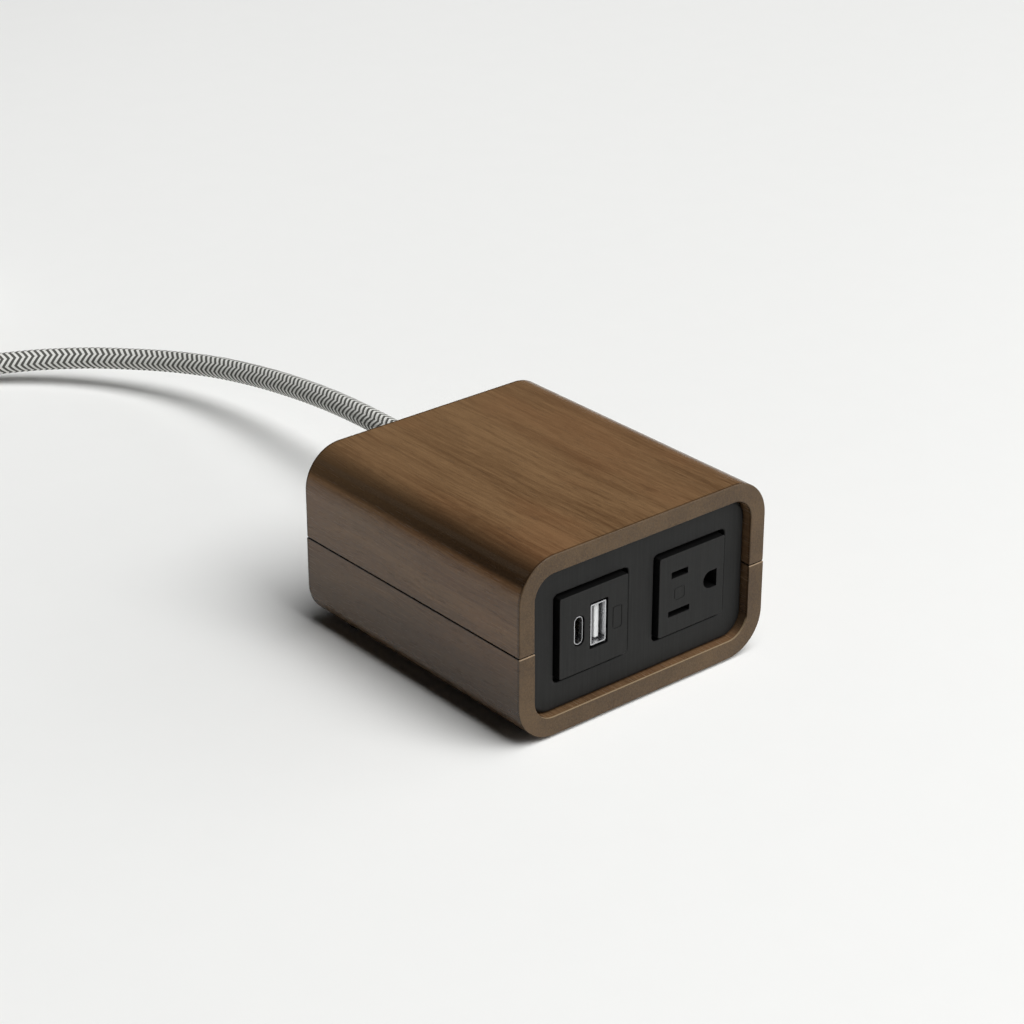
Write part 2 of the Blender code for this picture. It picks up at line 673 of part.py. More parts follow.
def make_tongue(name, x, size, mouth, look):
    """The flat tongue in the middle of a port; size is (thickness, height, set-back, length)."""
    thickness, height, set_back, length = size
    block(
        name, (x - thickness / 2, mouth + set_back, USB_Z - height / 2),
        (x + thickness / 2, mouth + set_back + length, USB_Z + height / 2), look,
    )


def make_port(name, x, size, corner, wall, mouth, length):
    """A drawn steel port shell: a deep cup with thin walls and an open mouth."""
    wide, high = size
    outer = rounded_rectangle(wide, high, corner, 5)
    shell = extruded(name, [outer], length, (x, mouth + length / 2, USB_Z), FACING_FRONT, STEEL)
    inside = rounded_rectangle(wide - 2 * wall, high - 2 * wall, max(corner - wall, 0.0001), 5)
    hollow_end = mouth + length - 0.0008
    start = mouth - 0.002
    cut(shell, extruded(
        f"{name}_hollow", [inside], hollow_end - start, (x, (start + hollow_end) / 2, USB_Z), FACING_FRONT
    ))


def make_charger():
    """The charger: a board on edge, with its transformer, capacitors, choke, fuse and chips."""
    left = BOARD_X - BOARD_THICKNESS / 2
    right = BOARD_X + BOARD_THICKNESS / 2
    block("charger_board", (left, BOARD_FRONT, BOARD_BOTTOM), (right, BOARD_BACK, BOARD_TOP), BOARD_GREEN)
    on_board = right + GAP

    core = block(
        "transformer_core", (on_board, -0.0190, 0.0200), (on_board + 0.0130, -0.0010, 0.0400), FERRITE
    )
    cut(core, block("core_window", (on_board - 0.01, -0.0160, 0.0240), (on_board + 0.03, -0.0040, 0.0360)))
    round_edges(core, 0.0004, 1)
    winding = block(
        "transformer_winding", (on_board, -0.0157, 0.0243), (on_board + 0.0150, -0.0043, 0.0357), TAPE
    )
    round_edges(winding, 0.0015, 3)

    make_can("bulk_capacitor", (on_board + 0.0003, 0.0085, 0.0395), 0.0055, 0.0180)
    make_can("output_capacitor_1", (on_board + 0.0003, -0.0255, 0.0425), 0.0032, 0.0110)
    make_can("output_capacitor_2", (on_board + 0.0003, -0.0255, 0.0195), 0.0032, 0.0110)

    bpy.ops.mesh.primitive_torus_add(
        major_segments=20, minor_segments=8, major_radius=0.0046, minor_radius=0.0018,
        location=(on_board + 0.0022, 0.0085, 0.0230), rotation=(0, math.pi / 2, 0),
    )
    choke = bpy.context.object
    choke.name = "line_choke"
    choke.data.name = "line_choke"
    for collection in list(choke.users_collection):
        collection.objects.unlink(choke)
    PARTS.objects.link(choke)
    choke.data.materials.append(finish("line_choke", COPPER))
    smooth(choke)

    rod("input_fuse", 0.0019, 0.0100, (on_board + 0.0022, 0.0190, 0.0400), "Z", LIGHT_PLASTIC, 12)
    filter_capacitor = block(
        "filter_capacitor", (on_board, 0.0160, 0.0160), (on_board + 0.0110, 0.0215, 0.0290), TAPE
    )
    round_edges(filter_capacitor, 0.0005, 1)
    chips = left - GAP
    block("bridge_rectifier", (chips - 0.0026, 0.0040, 0.0340), (chips, 0.0130, 0.0410), BLACK_PLASTIC)
    block("port_controller", (chips - 0.0010, -0.0300, 0.0130), (chips, -0.0240, 0.0190), BLACK_PLASTIC)


def make_can(name, foot, radius, length):
    """An electrolytic capacitor standing out from the board along +X, with a rolled groove."""
    profile = [
        (0, length), (radius - 0.0006, length), (radius, length - 0.0006), (radius, 0.0026),
        (radius - 0.0005, 0.0020), (radius, 0.0014), (radius, 0), (0, 0),
    ]
    turned(name, profile, foot, (0, math.pi / 2, 0), CAN, 20)


def make_wiring():
    """The jacket's end inside the case, and the five insulated conductors."""
    inner_end = REAR_PLATE_OUT - PLATE_THICKNESS - 0.0026
    rod("jacket_end", 0.0036, 0.0070, (CORD_X, inner_end - 0.0038, MIDDLE), "Y", BLACK_PLASTIC, 16)
    split = inner_end - 0.0076
    exit_y = INSERT_BACK + GAP + OUTLET_BODY[1] + GAP
    runs = {
        "hot_wire": (BLACK_WIRE, (-0.0012, 0.0012), (BLADE_X, HOT_Z)),
        "neutral_wire": (WHITE_WIRE, (-0.0012, -0.0014), (BLADE_X, NEUTRAL_Z)),
        "ground_wire": (GREEN_WIRE, (0.0014, 0.0), (GROUND_X, MIDDLE)),
    }
    for name, (look, (dx, dz), (x, z)) in runs.items():
        route = [
            (CORD_X + dx, split, MIDDLE + dz), (CORD_X + dx, split - 0.006, MIDDLE + dz),
            ((CORD_X + dx + x) / 2, (split + exit_y) / 2, (MIDDLE + dz + z) / 2),
            (x, exit_y + 0.008, z), (x, exit_y, z),
        ]
        tube(name, smooth_route(route, 0.0035), 0.0021, look)
    board = BOARD_X + BOARD_THICKNESS / 2 + GAP
    feeds = {
        "hot_feed": (BLACK_WIRE, 0.0435, (0.0010, 0.0020, 0.0475), (0.0215, 0.0480)),
        "neutral_feed": (WHITE_WIRE, 0.0170, (0.0000, 0.0040, 0.0128), (0.0222, 0.0125)),
    }
    for name, (look, z, between, (board_y, board_z)) in feeds.items():
        route = [
            (0.0080, exit_y, z), (0.0080, exit_y + 0.006, z), between,
            (board + 0.0110, board_y - 0.0040, board_z), (board, board_y, board_z),
        ]
        tube(name, smooth_route(route, 0.0035), 0.0021, look)


def make_lead():
    """The strain relief, the braided lead along the table, and the coil that stores the rest."""
    neck = RELIEF_NECK
    start = REAR_PLATE_OUT - PLATE_THICKNESS - 0.0023
    end = RELIEF_END - GAP - start
    rear = REAR_PLATE_OUT - start
    profile = [(0, end), (0.0050, end)]
    for i in range(RELIEF_RIBS):
        back = end - 0.0022 - i * (end - rear - 0.0070) / RELIEF_RIBS
        radius = 0.0052 + 0.0015 * (i / RELIEF_RIBS)
        profile += [(radius, back), (radius - 0.0006, back - 0.0008), (radius - 0.0006, back - 0.0022),
                    (radius + 0.0002, back - 0.0030)]
    profile += [
        (0.0082, rear + 0.0022), (0.0082, rear + GAP), (neck, rear + GAP),
        (neck, rear - PLATE_THICKNESS - GAP), (0.0078, rear - PLATE_THICKNESS - GAP), (0.0078, 0), (0, 0),
    ]
    turned("strain_relief", profile, (CORD_X, start, MIDDLE), (-math.pi / 2, 0, 0), RUBBER, 24)

    tube("cord_lead", smooth_route(LEAD_ROUTE, 0.018), CORD_DIAMETER, BRAID)

    coil_height = COIL_TOP - COIL_BASE
    section = [
        (COIL_MIDDLE_RADIUS + across, COIL_BASE + coil_height / 2 + up)
        for across, up in reversed(rounded_rectangle(2 * COIL_HALF_WIDTH, coil_height, COIL_CORNER, 3))
    ]
    coil = turned("cord_coil", [*section, section[0]], (*COIL_CENTRE, 0), (0, 0, 0), BRAID, 48)
    tie_direction = Vector((math.cos(TIE_ANGLE), math.sin(TIE_ANGLE), 0))
    tie_centre = Vector((*COIL_CENTRE, 0)) + tie_direction * COIL_MIDDLE_RADIUS
    notch_half = TIE_WIDTH / 2 + 0.0005
    notch_top = COIL_BASE + TIE_THICKNESS + GAP
    notch = block("tie_notch", (-0.02, -notch_half, -0.01), (0.02, notch_half, notch_top))
    notch.location = tie_centre + Vector((0, 0, notch.location.z))
    notch.rotation_euler = (0, 0, TIE_ANGLE)
    cut(coil, notch)

    inner_height = COIL_TOP + GAP - (TIE_BASE + TIE_THICKNESS)
    inner_width = 2 * COIL_HALF_WIDTH + TIE_SLACK
    outer_corner = TIE_CORNER + TIE_THICKNESS
    loop = [
        rounded_rectangle(inner_width + 2 * TIE_THICKNESS, inner_height + 2 * TIE_THICKNESS, outer_corner, 4),
        rounded_rectangle(inner_width, inner_height, TIE_CORNER, 4),
    ]
    tie_z = TIE_BASE + TIE_THICKNESS + inner_height / 2
    tie_turn = (math.pi / 2, 0, TIE_ANGLE)
    extruded("cord_tie", loop, TIE_WIDTH, (tie_centre.x, tie_centre.y, tie_z), tie_turn, RUBBER)
    tube("cord_tail", smooth_route(TAIL_ROUTE, 0.012), CORD_DIAMETER, BRAID)


def make_plug():
    """A moulded grounded plug, two flat blades and a round ground pin, lying on the coil."""
    across = Vector((math.cos(PLUG_AXIS_ANGLE), math.sin(PLUG_AXIS_ANGLE), 0))
    carrier = bpy.data.objects.new("plug_place", None)
    bpy.context.scene.collection.objects.link(carrier)
    carrier.location = Vector((*COIL_CENTRE, PLUG_Z)) + across * PLUG_OFFSET
    carrier.rotation_euler = (0, 0, PLUG_TURN)

    body_start = SLEEVE_START + SLEEVE_LENGTH
    body_end = body_start + PLUG_BODY_LENGTH
    half_wide, half_high = PLUG_HALF
    straight_start = body_start + PLUG_TAPER + GAP
    body = block(
        "plug_body", (-half_wide, straight_start, -half_high), (half_wide, body_end, half_high), RUBBER
    )
    taper_back(body, PLUG_TAPER, PLUG_NECK_HALF)
    round_edges(body, PLUG_ROUNDING, 3)
    half = PIN_THICKNESS / 2
    root = body_end - PIN_ROOT
    for name, x in (("plug_hot_blade", -BLADE_SPACING / 2), ("plug_neutral_blade", BLADE_SPACING / 2)):
        blade = block(name, (x - half, root, PIN_LOW), (x + half, body_end + PIN_LENGTH, PIN_HIGH), BRASS)
        round_edges(blade, EDGE_BREAK, 1)
        pocket = block(
            f"{name}_pocket", (x - half - GAP, root - GAP, PIN_LOW - GAP),
            (x + half + GAP, body_end + PIN_LENGTH, PIN_HIGH + GAP),
        )
        pocket.parent = carrier
        cut(body, pocket)
        blade.parent = carrier
    pin_middle = body_end + (GROUND_PIN_LENGTH - GROUND_PIN_ROOT) / 2
    pin_length = GROUND_PIN_LENGTH + GROUND_PIN_ROOT
    ground = rod(
        "plug_ground_pin", GROUND_PIN_RADIUS, pin_length, (0, pin_middle, GROUND_PIN_Z), "Y", BRASS, 16
    )
    round_edges(ground, 0.0007, 2)
    ground_pocket = rod(
        "ground_pocket", GROUND_PIN_RADIUS + GAP, pin_length, (0, pin_middle - GAP, GROUND_PIN_Z), "Y",
        sides=16,
    )
    ground_pocket.parent = carrier
    cut(body, ground_pocket)
    profile = [(0, SLEEVE_LENGTH - 0.0006), (0.0068, SLEEVE_LENGTH - 0.0006)]
    for i in range(3):
        z = SLEEVE_LENGTH - 0.0030 - i * 0.0034
        radius = 0.0064 - 0.0005 * i
        groove = radius - 0.0007
        profile += [(radius, z), (groove, z - 0.0006), (groove, z - 0.0018), (radius - 0.0002, z - 0.0024)]
    profile += [(0.0048, 0), (0, 0)]
    sleeve = turned("plug_sleeve", profile, (0, SLEEVE_START + GAP, 0), (-math.pi / 2, 0, 0), RUBBER, 20)
    for piece in (body, ground, sleeve):
        piece.parent = carrier


def taper_back(body, length, neck_half):
    """Draw the back face of the plug's body out to a smaller square, where the lead comes in."""
    form = bmesh.new()
    form.from_mesh(body.data)
    form.faces.ensure_lookup_table()
    back = min(form.faces, key=lambda face: face.calc_center_median().y)
    drawn = bmesh.ops.extrude_face_region(form, geom=[back])
    bmesh.ops.delete(form, geom=[back], context="FACES")
    for vertex in [g for g in drawn["geom"] if isinstance(g, bmesh.types.BMVert)]:
        vertex.co.y -= length
        vertex.co.x = math.copysign(neck_half, vertex.co.x)
        vertex.co.z = math.copysign(neck_half, vertex.co.z)
    form.to_mesh(body.data)
    form.free()


make_shells()
make_front_plate()
make_rear_plate()
make_tray()
make_outlet()
make_usb()
make_wiring()
make_lead()
make_plug()
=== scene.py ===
# %% [markdown]
# # A walnut desktop power hub, in cells
# The hub is a small walnut box with an outlet and two charging ports in its face and a braided
# mains lead behind. Its solids are already designed, and they arrive here as a fixed frame. Every
# cell below either replaces one plain solid with a finely shaped piece at the same place, or gives
# a solid its finish. All lengths are in metres.

import json
import math

import bmesh
import bpy
from mathutils import Matrix, Vector


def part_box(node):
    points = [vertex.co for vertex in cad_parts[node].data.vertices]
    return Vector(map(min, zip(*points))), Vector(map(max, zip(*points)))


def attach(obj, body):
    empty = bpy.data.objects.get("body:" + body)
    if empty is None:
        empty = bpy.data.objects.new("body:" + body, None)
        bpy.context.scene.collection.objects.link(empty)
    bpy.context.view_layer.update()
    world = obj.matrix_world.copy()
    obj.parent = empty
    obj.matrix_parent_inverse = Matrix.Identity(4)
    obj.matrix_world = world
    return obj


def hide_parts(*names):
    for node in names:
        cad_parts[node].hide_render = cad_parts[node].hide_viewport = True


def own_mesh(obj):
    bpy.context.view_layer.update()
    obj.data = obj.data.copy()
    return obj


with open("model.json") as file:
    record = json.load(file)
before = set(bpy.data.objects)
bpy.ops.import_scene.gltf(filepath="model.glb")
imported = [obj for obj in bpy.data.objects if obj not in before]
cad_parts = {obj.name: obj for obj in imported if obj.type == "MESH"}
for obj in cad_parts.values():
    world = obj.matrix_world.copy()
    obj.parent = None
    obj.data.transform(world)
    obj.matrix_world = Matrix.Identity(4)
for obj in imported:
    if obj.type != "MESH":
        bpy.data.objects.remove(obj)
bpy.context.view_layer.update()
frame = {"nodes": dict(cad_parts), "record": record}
nodes = frame["nodes"]

# %% [markdown]
# ## The places that the pieces share
# The frame already says where each solid is. The case, the seam and the sockets are read from the
# boxes of its nodes, so a fine piece can't drift away from the solid that it stands for.

# %% Read the main sizes
MM = 0.001
upper_low, upper_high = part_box("upper_shell")
lower_low, lower_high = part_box("lower_shell")
front_y, back_y = upper_low.y, upper_high.y
half_width = upper_high.x
case_bottom, case_top = lower_low.z, upper_high.z
seam_z = (upper_low.z + lower_high.z) / 2
wall = 5.8 * MM
outer_radius = 13.2 * MM
lip_bevel = 0.35 * MM
TOUCHING = 0.01 * MM
usb_low, usb_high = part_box("usb_face")
outlet_low, outlet_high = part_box("outlet_face")
usb_x = (usb_low.x + usb_high.x) / 2
outlet_x = (outlet_low.x + outlet_high.x) / 2
case_size = (2 * half_width, back_y - front_y, case_top - case_bottom)
print("case", [round(v, 4) for v in case_size], "seam at", round(seam_z, 4))


def mm(*sizes):
    """Sizes in millimetres, given in metres."""
    return tuple(size * MM for size in sizes)


def toward(angle):
    """One metre along the table at an angle from +X."""
    return Vector((math.cos(angle), math.sin(angle), 0))


def add_object(name, data):
    """A new object in the scene."""
    made = bpy.data.objects.new(name, data)
    bpy.context.scene.collection.objects.link(made)
    return made


# %% [markdown]
# ## Camera
# A long lens from the front left and above shows the top, the left side and the socket face. A long
# lens keeps the box's edges nearly parallel.

# %% Set the camera
camera_data = bpy.data.cameras.new("camera")
camera_data.lens = 94.7
camera_data.sensor_width = 36.0
camera_data.clip_end = 50.0
camera = add_object("camera", camera_data)
camera.location = (-0.47649, -0.55836, 0.40181)
camera_right = Vector((0.76633, -0.64244, 0.0))
camera_up = Vector((0.28236, 0.33681, 0.89823))
camera_back = camera_right.cross(camera_up)
turn = Matrix((camera_right, camera_up, camera_back)).transposed()
camera.rotation_euler = turn.to_euler()
bpy.context.scene.camera = camera

# %% [markdown]
# ## Floor and light
# A wide white floor lies under everything. One very large soft light hangs high in front and a
# little to the right, so the only shadow is a soft one along the left side, and a low wide light
# fills from the right. The world is a pale wall that fades out a little above the horizon, and the
# satin wood reflects it. The standard view transform shows the colours as they are mixed.

# %% Lay the floor and hang the lights
def area_light(name, place, aim, wide, high, power):
    """A white soft box at place, facing aim."""
    lamp = bpy.data.lights.new(name, "AREA")
    lamp.shape = "RECTANGLE"
    lamp.size = wide
    lamp.size_y = high
    lamp.energy = power
    holder = add_object(name, lamp)
    holder.location = place
    holder.rotation_euler = (Vector(aim) - Vector(place)).to_track_quat("-Z", "Y").to_euler()


HORIZON_GLOW = 0.58
SKY_GLOW = 0.09
WALL_EDGE = (0.27, 0.36)
BOX_MIDDLE = (0, 0, 0.03)

bpy.ops.mesh.primitive_plane_add(size=8.0, location=(0, 0, 0))
floor = bpy.context.object
floor.name = "floor"

world = bpy.data.worlds.new("studio")
world.use_nodes = True
wiring = world.node_tree
direction = wiring.nodes.new("ShaderNodeTexCoord")
height = wiring.nodes.new("ShaderNodeSeparateXYZ")
glow = wiring.nodes.new("ShaderNodeMapRange")
glow.interpolation_type = "SMOOTHSTEP"
limits = (*WALL_EDGE, HORIZON_GLOW, SKY_GLOW)
for name, value in zip(("From Min", "From Max", "To Min", "To Max"), limits):
    glow.inputs[name].default_value = value
wiring.links.new(direction.outputs["Generated"], height.inputs[0])
wiring.links.new(height.outputs["Z"], glow.inputs["Value"])
wiring.links.new(glow.outputs[0], wiring.nodes["Background"].inputs["Strength"])
bpy.context.scene.world = world
bpy.context.scene.view_settings.view_transform = "Standard"
area_light("overhead_key", (0.70, -2.18, 4.40), BOX_MIDDLE, 3.3, 4.8, 326.0)
area_light("low_right_fill", (1.21, -0.98, 0.39), BOX_MIDDLE, 2.8, 1.5, 21.0)

# %% [markdown]
# ## Shader maths as plain expressions
# A pattern such as wood grain is a formula on the surface's own coordinates. `Value` wraps one
# number that the shader works out at each point, so the formula can be written with + - * /, and
# each operator adds its Math node. `Paint.node` makes every other node.

# %% A small class for values and one for materials
class Value:
    """One number that varies over the surface."""

    def __init__(self, paint, socket):
        self.paint = paint
        self.socket = socket

    def math(self, operation, *others):
        inputs = dict(enumerate((self, *others)))
        return self.paint.node("ShaderNodeMath", {"operation": operation}, inputs)

    def __add__(self, other):
        return self.math("ADD", other)

    __radd__ = __add__

    def __sub__(self, other):
        return self.math("SUBTRACT", other)

    def __rsub__(self, other):
        return self.paint.node("ShaderNodeMath", {"operation": "SUBTRACT"}, {0: other, 1: self})

    def __mul__(self, other):
        return self.math("MULTIPLY", other)

    __rmul__ = __mul__

    def __truediv__(self, other):
        return self.math("DIVIDE", other)

    def __neg__(self):
        return self.math("MULTIPLY", -1.0)

    def size(self):
        return self.math("ABSOLUTE")

    def wave(self):
        """A triangle wave: 0 at each whole number and 1 half way between."""
        return (self.math("FRACT") * 2 - 1).math("ABSOLUTE") * -1 + 1

    def larger(self, other):
        return self.math("MAXIMUM", other)

    def ramp(self, low, high, start=0.0, stop=1.0):
        """From start to stop as the value goes from low to high, smoothly, and level outside."""
        return self.paint.node(
            "ShaderNodeMapRange", {"interpolation_type": "SMOOTHSTEP"},
            {"Value": self, "From Min": low, "From Max": high, "To Min": start, "To Max": stop},
        )


class Paint:
    """A material that is being mixed, and its shader."""

    def __init__(self, name):
        self.material = bpy.data.materials.new(name)
        self.material.use_nodes = True
        self.tree = self.material.node_tree
        self.shader = self.tree.nodes["Principled BSDF"]

    def node(self, kind, settings=None, inputs=None, out=0):
        """Any node: its settings, then the values or links of its sockets; gives one output."""
        made = self.tree.nodes.new(kind)
        for key, value in (settings or {}).items():
            setattr(made, key, value)
        for key, value in (inputs or {}).items():
            self.feed(made.inputs[key], value)
        return Value(self, made.outputs[out])

    def feed(self, socket, value):
        if isinstance(value, Value):
            self.tree.links.new(value.socket, socket)
        else:
            socket.default_value = value

    def parts(self, vector):
        """The three parts of a vector."""
        split = self.node("ShaderNodeSeparateXYZ", inputs={0: vector})
        return [Value(self, socket) for socket in split.socket.node.outputs]

    def place(self):
        """The three Object coordinates of the surface point."""
        return self.parts(self.node("ShaderNodeTexCoord", out="Object"))

    def facing(self):
        """The three parts of the surface's own direction."""
        return self.parts(self.node("ShaderNodeNewGeometry", out="Normal"))

    def point(self, x, y, z):
        return self.node("ShaderNodeCombineXYZ", inputs={0: x, 1: y, 2: z})

    def noise(self, at, scale, detail=4.0, roughness=0.55, distortion=0.0):
        sizes = {"Scale": scale, "Detail": detail, "Roughness": roughness, "Distortion": distortion}
        return self.node("ShaderNodeTexNoise", {"noise_dimensions": "3D"}, {"Vector": at, **sizes})

    def blend(self, share, first, second):
        """Mix two colours, or links to colours, by a share from 0 to 1."""
        made = self.tree.nodes.new("ShaderNodeMix")
        made.data_type = "RGBA"
        made.clamp_factor = True
        self.feed(made.inputs[0], share)
        for socket, colour in ((made.inputs[6], first), (made.inputs[7], second)):
            self.feed(socket, colour if isinstance(colour, Value) else (*colour, 1.0))
        return Value(self, made.outputs[2])

    def bump(self, height, distance, strength):
        inputs = {"Height": height, "Distance": distance, "Strength": strength}
        return self.node("ShaderNodeBump", inputs=inputs)

    def finish(self, **sockets):
        """Set or link the shader's sockets, named with underscores, and give the material."""
        for name, value in sockets.items():
            socket = self.shader.inputs[name.replace("_", " ")]
            if isinstance(value, tuple) and len(value) == 3:
                value = (*value, 1.0)
            self.feed(socket, value)
        return self.material


def srgb(red, green, blue):
    """A colour as a screen shows it, 0 to 255, in the linear values that a shader wants."""
    return tuple(
        c / 255 / 12.92 if c / 255 <= 0.04045 else ((c / 255 + 0.055) / 1.055) ** 2.4
        for c in (red, green, blue)
    )


# %% The floor's finish, painted lighter towards the back
white = Paint("studio_floor")
x, y, z = white.place()
speck = white.noise(white.point(x, y, z), 60.0, 3.0)
near = white.blend(speck, (0.805, 0.808, 0.795), (0.82, 0.823, 0.81))
far_painted_lighter = white.blend(speck, (0.885, 0.888, 0.875), (0.90, 0.903, 0.89))
# Painted light: the floor is paler towards the back, standing in for brighter light there.
white.finish(Base_Color=white.blend((y - x * 0.4).ramp(-0.05, 0.60), near, far_painted_lighter), Roughness=0.75)
floor.data.materials.append(white.material)

# %% [markdown]
# ## Walnut
# Walnut's fibres run along the box, front to back. Noise that is stretched along Y gives three
# things at once: broad light and dark bands, fine fibres, and short dark pores. It is a solid
# pattern, and where the fibres meet the front lip a second one gives end grain, as specks. The two
# upper bends and the low parts of the sides are darkened with painted shade, the seam's groove is
# darker and the wood paler towards the back, and a painted highlight runs along the lower inner rim.

# %% Mix the walnut
LIP_START = back_y - lip_bevel
BEVEL_START = back_y - 0.75 * MM
CREASE_START = back_y - 0.95 * MM
HALF_GROOVE = 0.55 * MM
INSIDE_LIMIT = 3 * MM


def walnut_finish():
    wood = Paint("oiled_walnut")
    x, y, z = wood.place()
    sway = wood.noise(wood.point(x * 16, y * 9, z * 16), 1.0, 2.0) - 0.5
    across_x, across_z = x + sway * 0.010, z + sway * 0.010

    def grain(across, down, detail=2.0, roughness=0.55, distortion=0.0):
        """Noise drawn out along Y, with so many waves a metre across and down the fibres."""
        at = wood.point(across_x * across, y * down, across_z * across)
        return wood.noise(at, 1.0, detail, roughness, distortion)

    def tone_and_light(share, *screen_colour):
        """Lay one more colour over the wood, by a share; it lays the wood's own tones, and painted shade and
        painted highlights as well.
        """
        nonlocal colour
        colour = wood.blend(share, colour, srgb(*screen_colour))

    bands = grain(60, 9, 3.0, 0.5, 0.3)
    rings = grain(560, 14)
    streaks = grain(1500, 48, 3.0)
    fibres = wood.noise(wood.point(x * 2800, y * 260, z * 2800), 1.0, 2.0)
    pores = grain(2300, 150, 1.0).ramp(0.62, 0.72)
    tone = bands * 0.32 + rings * 0.23 + streaks * 0.26 + fibres * 0.19
    colour = wood.blend(tone.ramp(0.355, 0.645), srgb(86, 62, 40), srgb(124, 96, 67))
    tone_and_light(grain(45, 14).ramp(0.45, 0.70) * 0.22, 122, 80, 52)
    tone_and_light(pores * 0.35, 58, 41, 26)

    half_height = (case_top - case_bottom) / 2
    from_seam = z - seam_z
    round_x = (x.size() - (half_width - outer_radius)) / outer_radius
    round_z = (from_seam - (half_height - outer_radius)) / outer_radius
    # Painted shade: the two upper bends are darkened where the wood turns away from the light.
    bend = round_x.ramp(0.15, 0.75) * round_z.ramp(0.38, 0.52)
    tone_and_light(bend * 0.92, 44, 32, 20)
    # Painted shade: the sides are darkened towards the bottom, next to the shadowed floor.
    painted_low_shade = round_x.ramp(0.20, 0.50) * from_seam.ramp(-half_height * 0.7, half_height * 0.3, 1.0, 0.0)
    tone_and_light(painted_low_shade * 0.78, 46, 35, 24)
    # The wood is paler towards the back.
    paler_to_back = (y + x * 0.4).ramp(-0.06, 0.08)
    tone_and_light(paler_to_back * 0.28, 138, 109, 78)

    cut = (y.size() - LIP_START).ramp(0.0, 0.1 * MM)
    speckle = wood.noise(wood.point(x * 1.3, y, z), 2100.0, 3.0, 0.7)
    plies = wood.noise(wood.point(x * 60, y, z * 60), 1.0, 2.0)
    end_tone = (speckle * 0.65 + plies * 0.35).ramp(0.28, 0.72)
    colour = wood.blend(cut, colour, wood.blend(end_tone, srgb(56, 41, 24), srgb(89, 69, 44)))
    crease = (y.size() - CREASE_START).ramp(0.0, 0.2 * MM) * (1 - cut)
    tone_and_light(crease * 0.60, 46, 34, 23)
    groove = from_seam.size().ramp(0.30 * MM, HALF_GROOVE, 1.0, 0.0)
    tone_and_light(groove * (1 - cut) * 0.8, 38, 27, 17)
    lit_edge = groove * cut * from_seam.ramp(-0.1 * MM, 0.0, 1.0, 0.0)
    tone_and_light(lit_edge * 0.8, 160, 138, 112)
    # Painted highlight: a light line along the lower inner rim, where its edge faces up to the light.
    to_sky = wood.facing()[2].ramp(0.15, 0.35)
    below = from_seam.ramp(-2 * MM, 0.0, 1.0, 0.0)
    painted_rim_highlight = to_sky * below * (-y - BEVEL_START).ramp(0.0, 0.2 * MM)
    tone_and_light(painted_rim_highlight * 0.65, 158, 138, 110)
    inside = (y.size() - (back_y - 0.8 * MM)).ramp(-0.4 * MM, 0.0, 1.0, 0.0)
    for distance in (x.size() - half_width, from_seam.size() - half_height):
        inside = inside * (distance + INSIDE_LIMIT).ramp(-0.5 * MM, 0.0, 1.0, 0.0)
    tone_and_light(inside * 0.35, 74, 62, 50)
    roughness = 0.22 + streaks * 0.08 + pores * 0.2 + cut * 0.25
    normal = wood.bump(fibres * 0.5 + streaks * 0.4 - pores, 0.00004, 0.5)
    return wood.finish(Base_Color=colour, Roughness=roughness, Specular_IOR_Level=0.34, Normal=normal)


walnut = walnut_finish()

# %% [markdown]
# ## Plastics, metals and the rest
# A moulded face has a fine even texture from its mould and small changes in gloss. Metals have
# drawing or turning lines. Each finish is one function with the values that differ, so the many
# small pieces inside the case are as finished as those outside it.

# %% Mix plastics and rubber
def moulded(name, dark, light, roughness, grain=2200.0, depth=0.00002):
    """Plastic or rubber with a fine mould texture and slow changes in colour and gloss."""
    paint = Paint(name)
    x, y, z = paint.place()
    spot = paint.point(x, y, z)
    slow = paint.noise(spot, 90.0, 3.0)
    fine = paint.noise(spot, grain, 2.0)
    colour = paint.blend(slow * 0.6 + fine * 0.4, srgb(*dark), srgb(*light))
    return paint.finish(
        Base_Color=colour, Roughness=roughness - 0.06 + slow * 0.08 + fine * 0.05,
        Normal=paint.bump(fine, depth, 0.5),
    )


def brushed_face():
    """Fine upright brush lines under a matt coat, and painted shade, a deeper black, on walls that face
    sideways.
    """
    paint = Paint("brushed_black")
    x, y, z = paint.place()
    lines = paint.noise(paint.point(x * 2400, y * 2400, z * 60), 1.0, 3.0)
    fine = paint.noise(paint.point(x, y, z), 2600.0, 2.0)
    slow = paint.noise(paint.point(x, y, z), 50.0, 2.0)
    tone = (lines * 0.8 + slow * 0.2).ramp(0.25, 0.75)
    colour = paint.blend(tone, srgb(12, 12, 11), srgb(26, 26, 25))
    # Painted shade: walls that face sideways, such as those in the gaps round the inserts, are made a deeper
    # black.
    shaded_wall_share = paint.facing()[1].size().ramp(0.30, 0.62, 1.0, 0.0)
    colour = paint.blend(shaded_wall_share, colour, srgb(5, 5, 5))
    return paint.finish(
        Base_Color=colour, Roughness=0.50 + lines * 0.10, Specular_IOR_Level=0.22,
        Normal=paint.bump(lines * 0.7 + fine * 0.3, 0.00002, 0.5),
    )


black_face = brushed_face()
black_moulding = moulded("black_moulding", (38, 38, 37), (50, 50, 48), 0.55)
dark_nylon = moulded("dark_nylon", (48, 48, 47), (62, 62, 60), 0.62, 1500.0)
pale_plastic = moulded("pale_plastic", (214, 215, 214), (232, 233, 232), 0.42)
soft_rubber = moulded("soft_rubber", (36, 36, 36), (50, 50, 49), 0.78, 1400.0, 0.00004)
winding_tape = moulded("winding_tape", (196, 156, 52), (222, 184, 72), 0.38, 900.0)
ferrite = moulded("ferrite", (44, 45, 48), (70, 71, 75), 0.70, 1800.0, 0.00005)
capacitor_sleeve = moulded("capacitor_sleeve", (26, 30, 60), (38, 44, 82), 0.32, 700.0)
black_insulation = moulded("black_insulation", (28, 28, 28), (40, 40, 40), 0.45, 900.0)
white_insulation = moulded("white_insulation", (206, 206, 200), (226, 226, 220), 0.45, 900.0)
green_insulation = moulded("green_insulation", (28, 110, 56), (44, 136, 72), 0.45, 900.0)


